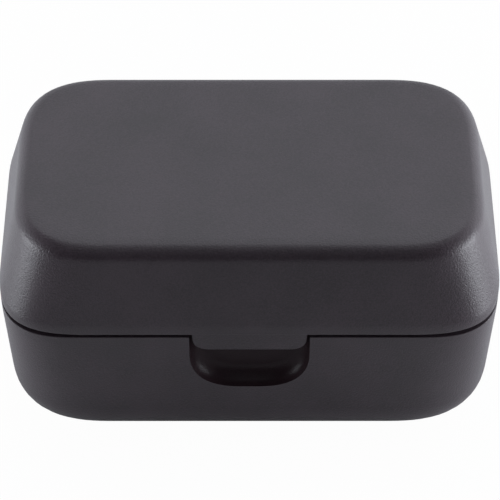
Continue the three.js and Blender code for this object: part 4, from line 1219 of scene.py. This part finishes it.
def drawn_steel(name, stretch):
    material, shade, place = start_finish(name)
    shade.inputs["Metallic"].default_value = 1
    brushed = noise(stretched(place["Object"], stretch), 900, detail=3)
    colour = ramp(brushed, (0.50, 0.51, 0.53), (0.62, 0.63, 0.65))
    surface(shade, colour, spread(brushed, 0.22, 0.42))
    relief(shade, brushed, 0.15, 0.00005)
    return material


def sleeved_cell(name, side):
    """A cell whose bare end is at the front (-1) or at the back (1)."""
    material, shade, place = start_finish(name)
    x, y = axes(place["Object"])
    bare = spread(y, 0, 1, side * SLEEVE_END * MM, side * SLEEVE_EDGE * MM)
    cloud = noise(place["Object"], 200, detail=3)
    film = ramp(cloud, (0.24, 0.13, 0.028), (0.29, 0.165, 0.04))
    metal = ramp(cloud, (0.50, 0.51, 0.53), (0.60, 0.61, 0.63))
    surface(shade, mixed(bare, film, metal), spread(cloud, 0.28, 0.40))
    feed(shade, "Metallic", spread(bare, 0.35, 1))
    return material


def lacquered_board():
    material, shade, place = start_finish("board")
    pattern = {"Vector": place["Object"], "Scale": 260}
    tracks = add_node(shade.id_data, "TexVoronoi", pattern, feature="DISTANCE_TO_EDGE")
    copper = spread(tracks["Distance"], 1, 0, 0.04, 0.08)
    fine = noise(place["Object"], 2500)
    colour = ramp(copper, (0.009, 0.075, 0.029), (0.022, 0.14, 0.055), 0.2, 0.8)
    surface(shade, colour, spread(fine, 0.30, 0.42))
    relief(shade, sums("ADD", copper, fine), 0.3, 0.00006)
    return material


steel_along_x = drawn_steel("steel_along_x", (0.05, 1, 1))
steel_upright = drawn_steel("steel_upright", (1, 1, 0.08))
cell_1_sleeve = sleeved_cell("cell_sleeve_1", 1)
cell_2_sleeve = sleeved_cell("cell_sleeve_2", -1)
board = lacquered_board()
print("metal, cell and board finishes made")

# %% [markdown]
# Cloth is read from the strips' own map, which is the flat strip in metres, so the weave follows the
# cuff round its turns. Two waves multiplied give the over and under of a plain weave. The cover also
# has a row of stitches along each hem: short dashes, paler and raised.

# %% Cloth
THREAD, LOOP = 0.0009, 0.001
STITCH_ROW, STITCH_HALF = (CUFF_HALF - 2) * MM, 0.00028
STITCH_PITCH, STITCH_SHARE = 0.0032, 0.7


def weave(along, across, pitch):
    over = sums("SINE", sums("MULTIPLY", along, math.tau / pitch))
    under = sums("SINE", sums("MULTIPLY", across, math.tau / pitch))
    return spread(sums("MULTIPLY", over, under), 0, 1, -1, 1)


def stitches(along, across):
    """1 on the dashes of the two rows of stitches, and 0 between them."""
    from_middle = sums("ABSOLUTE", across)
    from_row = sums("ABSOLUTE", sums("SUBTRACT", from_middle, STITCH_ROW))
    on_row = sums("LESS_THAN", from_row, STITCH_HALF)
    in_pitch = sums("FRACT", sums("DIVIDE", along, STITCH_PITCH))
    return sums("MULTIPLY", on_row, sums("LESS_THAN", in_pitch, STITCH_SHARE))


def woven_cover():
    material, shade, place = start_finish("cuff_fabric")
    along, across = axes(place["UV"])
    threads = weave(along, across, THREAD)
    fuzz = noise(place["UV"], 1800, detail=3)
    stitch = stitches(along, across)
    bright = sums("ADD", shares(threads, 0.45, fuzz, 0.35), stitch)
    cloth = ramp(bright, (0.011, 0.011, 0.014), (0.028, 0.028, 0.035), 0.1, 0.75)
    thread = ramp(stitch, (0, 0, 0), (0.07, 0.07, 0.08), 0.4, 0.6)
    surface(shade, mixed(1, cloth, thread, "ADD"), spread(fuzz, 0.70, 0.88))
    shade.inputs["Sheen Weight"].default_value = 0.2
    relief(shade, sums("ADD", threads, sums("MULTIPLY", stitch, 2)), 0.6, 0.00015)
    return material


def knitted_lining():
    material, shade, place = start_finish("cuff_lining")
    along, across = axes(place["UV"])
    zigzag = sums("PINGPONG", across, LOOP / 2)
    slant = sums("ADD", along, sums("MULTIPLY", zigzag, 0.8))
    fuzz = noise(place["UV"], 1500, detail=4)
    tone = shares(weave(slant, across, LOOP), 0.5, fuzz, 0.5)
    colour = ramp(tone, (0.042, 0.046, 0.057), (0.066, 0.071, 0.086))
    surface(shade, colour, spread(fuzz, 0.78, 0.95))
    shade.inputs["Sheen Weight"].default_value = 0.35
    relief(shade, tone, 0.6, 0.0002)
    return material


def hooked_tape():
    material, shade, place = start_finish("cuff_hooks")
    pattern = {"Vector": place["UV"], "Scale": 900, "Randomness": 0.35}
    hooks = add_node(shade.id_data, "TexVoronoi", pattern)
    tip = spread(hooks["Distance"], 1, 0, 0.1, 0.5)
    colour = ramp(tip, (0.008, 0.008, 0.010), (0.030, 0.030, 0.036), 0.2, 0.9)
    surface(shade, colour, spread(tip, 0.75, 0.45))
    relief(shade, tip, 0.8, 0.0003)
    return material


cuff_fabric = woven_cover()
cuff_lining = knitted_lining()
cuff_hooks = hooked_tape()
print("cloth finishes made")

# %% [markdown]
# ## Each piece gets its finish
# New pieces name the record's material slot that they take. On the base, the faces of the scoop get
# their own darker plastic, which is painted shade in the recess. They are picked by their place,
# because the Boolean made them anew.

# %% Finishes on the new pieces
NEAR = 0.05
SCOOP_RIM = 0.3


def wear(piece, material):
    piece.data.materials.clear()
    piece.data.materials.append(material)


def in_scoop(x, y, z):
    """Whether a point in mm lies on the wall of the scoop."""
    between = abs(x) < RECESS_HALF + NEAR and RECESS_FOOT - NEAR < z < rim_z - NEAR
    return between and FRONT + SCOOP_RIM < y < recess_back + NEAR


DRESSED = [
    ("case_plastic", plastics["case_plastic"], [base, lid, tab, *knuckles]),
    ("housing_plastic", plastics["housing_plastic"], [top_half, bottom_half, door]),
    ("window_plastic", window_plastic, [window]),
    ("button_plastic", plastics["button_plastic"], caps),
    ("cuff_fabric", cuff_fabric, [cover]),
    ("cuff_fabric", cuff_hooks, [hook_tape]),
    ("cuff_lining", cuff_lining, [bladder]),
]
for slot, material, pieces in DRESSED:
    for piece in pieces:
        wear(piece, material)
# The scoop faces take the darker plastic: painted shade in the recess.
base.data.materials.append(plastics["scoop_painted_shade_plastic"])
scooped = [face for face in base.data.polygons if in_scoop(*(face.center / MM))]
for face in scooped:
    face.material_index = 1
print("new pieces dressed:", sum(len(pieces) for slot, material, pieces in DRESSED))
print("scoop faces:", len(scooped))

# %% [markdown]
# The solids that stay as they are, such as the screws, the springs and what lies on the board, get the
# same finishes in their own slots. Their meshes are left alone.

# %% Finishes on the solids that stay
KEPT = {
    steel_along_x: ["hinge_pin", "battery_bridge_contact", "battery_positive_terminal",
                    "battery_negative_terminal", "contact_spring_1", "contact_spring_2"],
    steel_upright: ["pump_motor", *(f"housing_screw_{i}" for i in range(1, 5))],
    plastics["part_plastic"]: ["pump_head", "release_valve", "air_manifold", "cuff_air_nipple",
                               "cuff_curler"],
    plastics["chip_plastic"]: ["controller_chip", "pressure_sensor", "start_switch", "memory_switch",
                               "user_switch"],
    plastics["tube_rubber"]: ["pump_tube", "valve_tube"],
    cell_1_sleeve: ["battery_cell_1"],
    cell_2_sleeve: ["battery_cell_2"],
    board: ["circuit_board"],
    lcd_glass: ["lcd_panel"],
}
for material, nodes in KEPT.items():
    for node in nodes:
        wear(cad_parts[node], material)
print("solids dressed:", sum(len(nodes) for nodes in KEPT.values()))
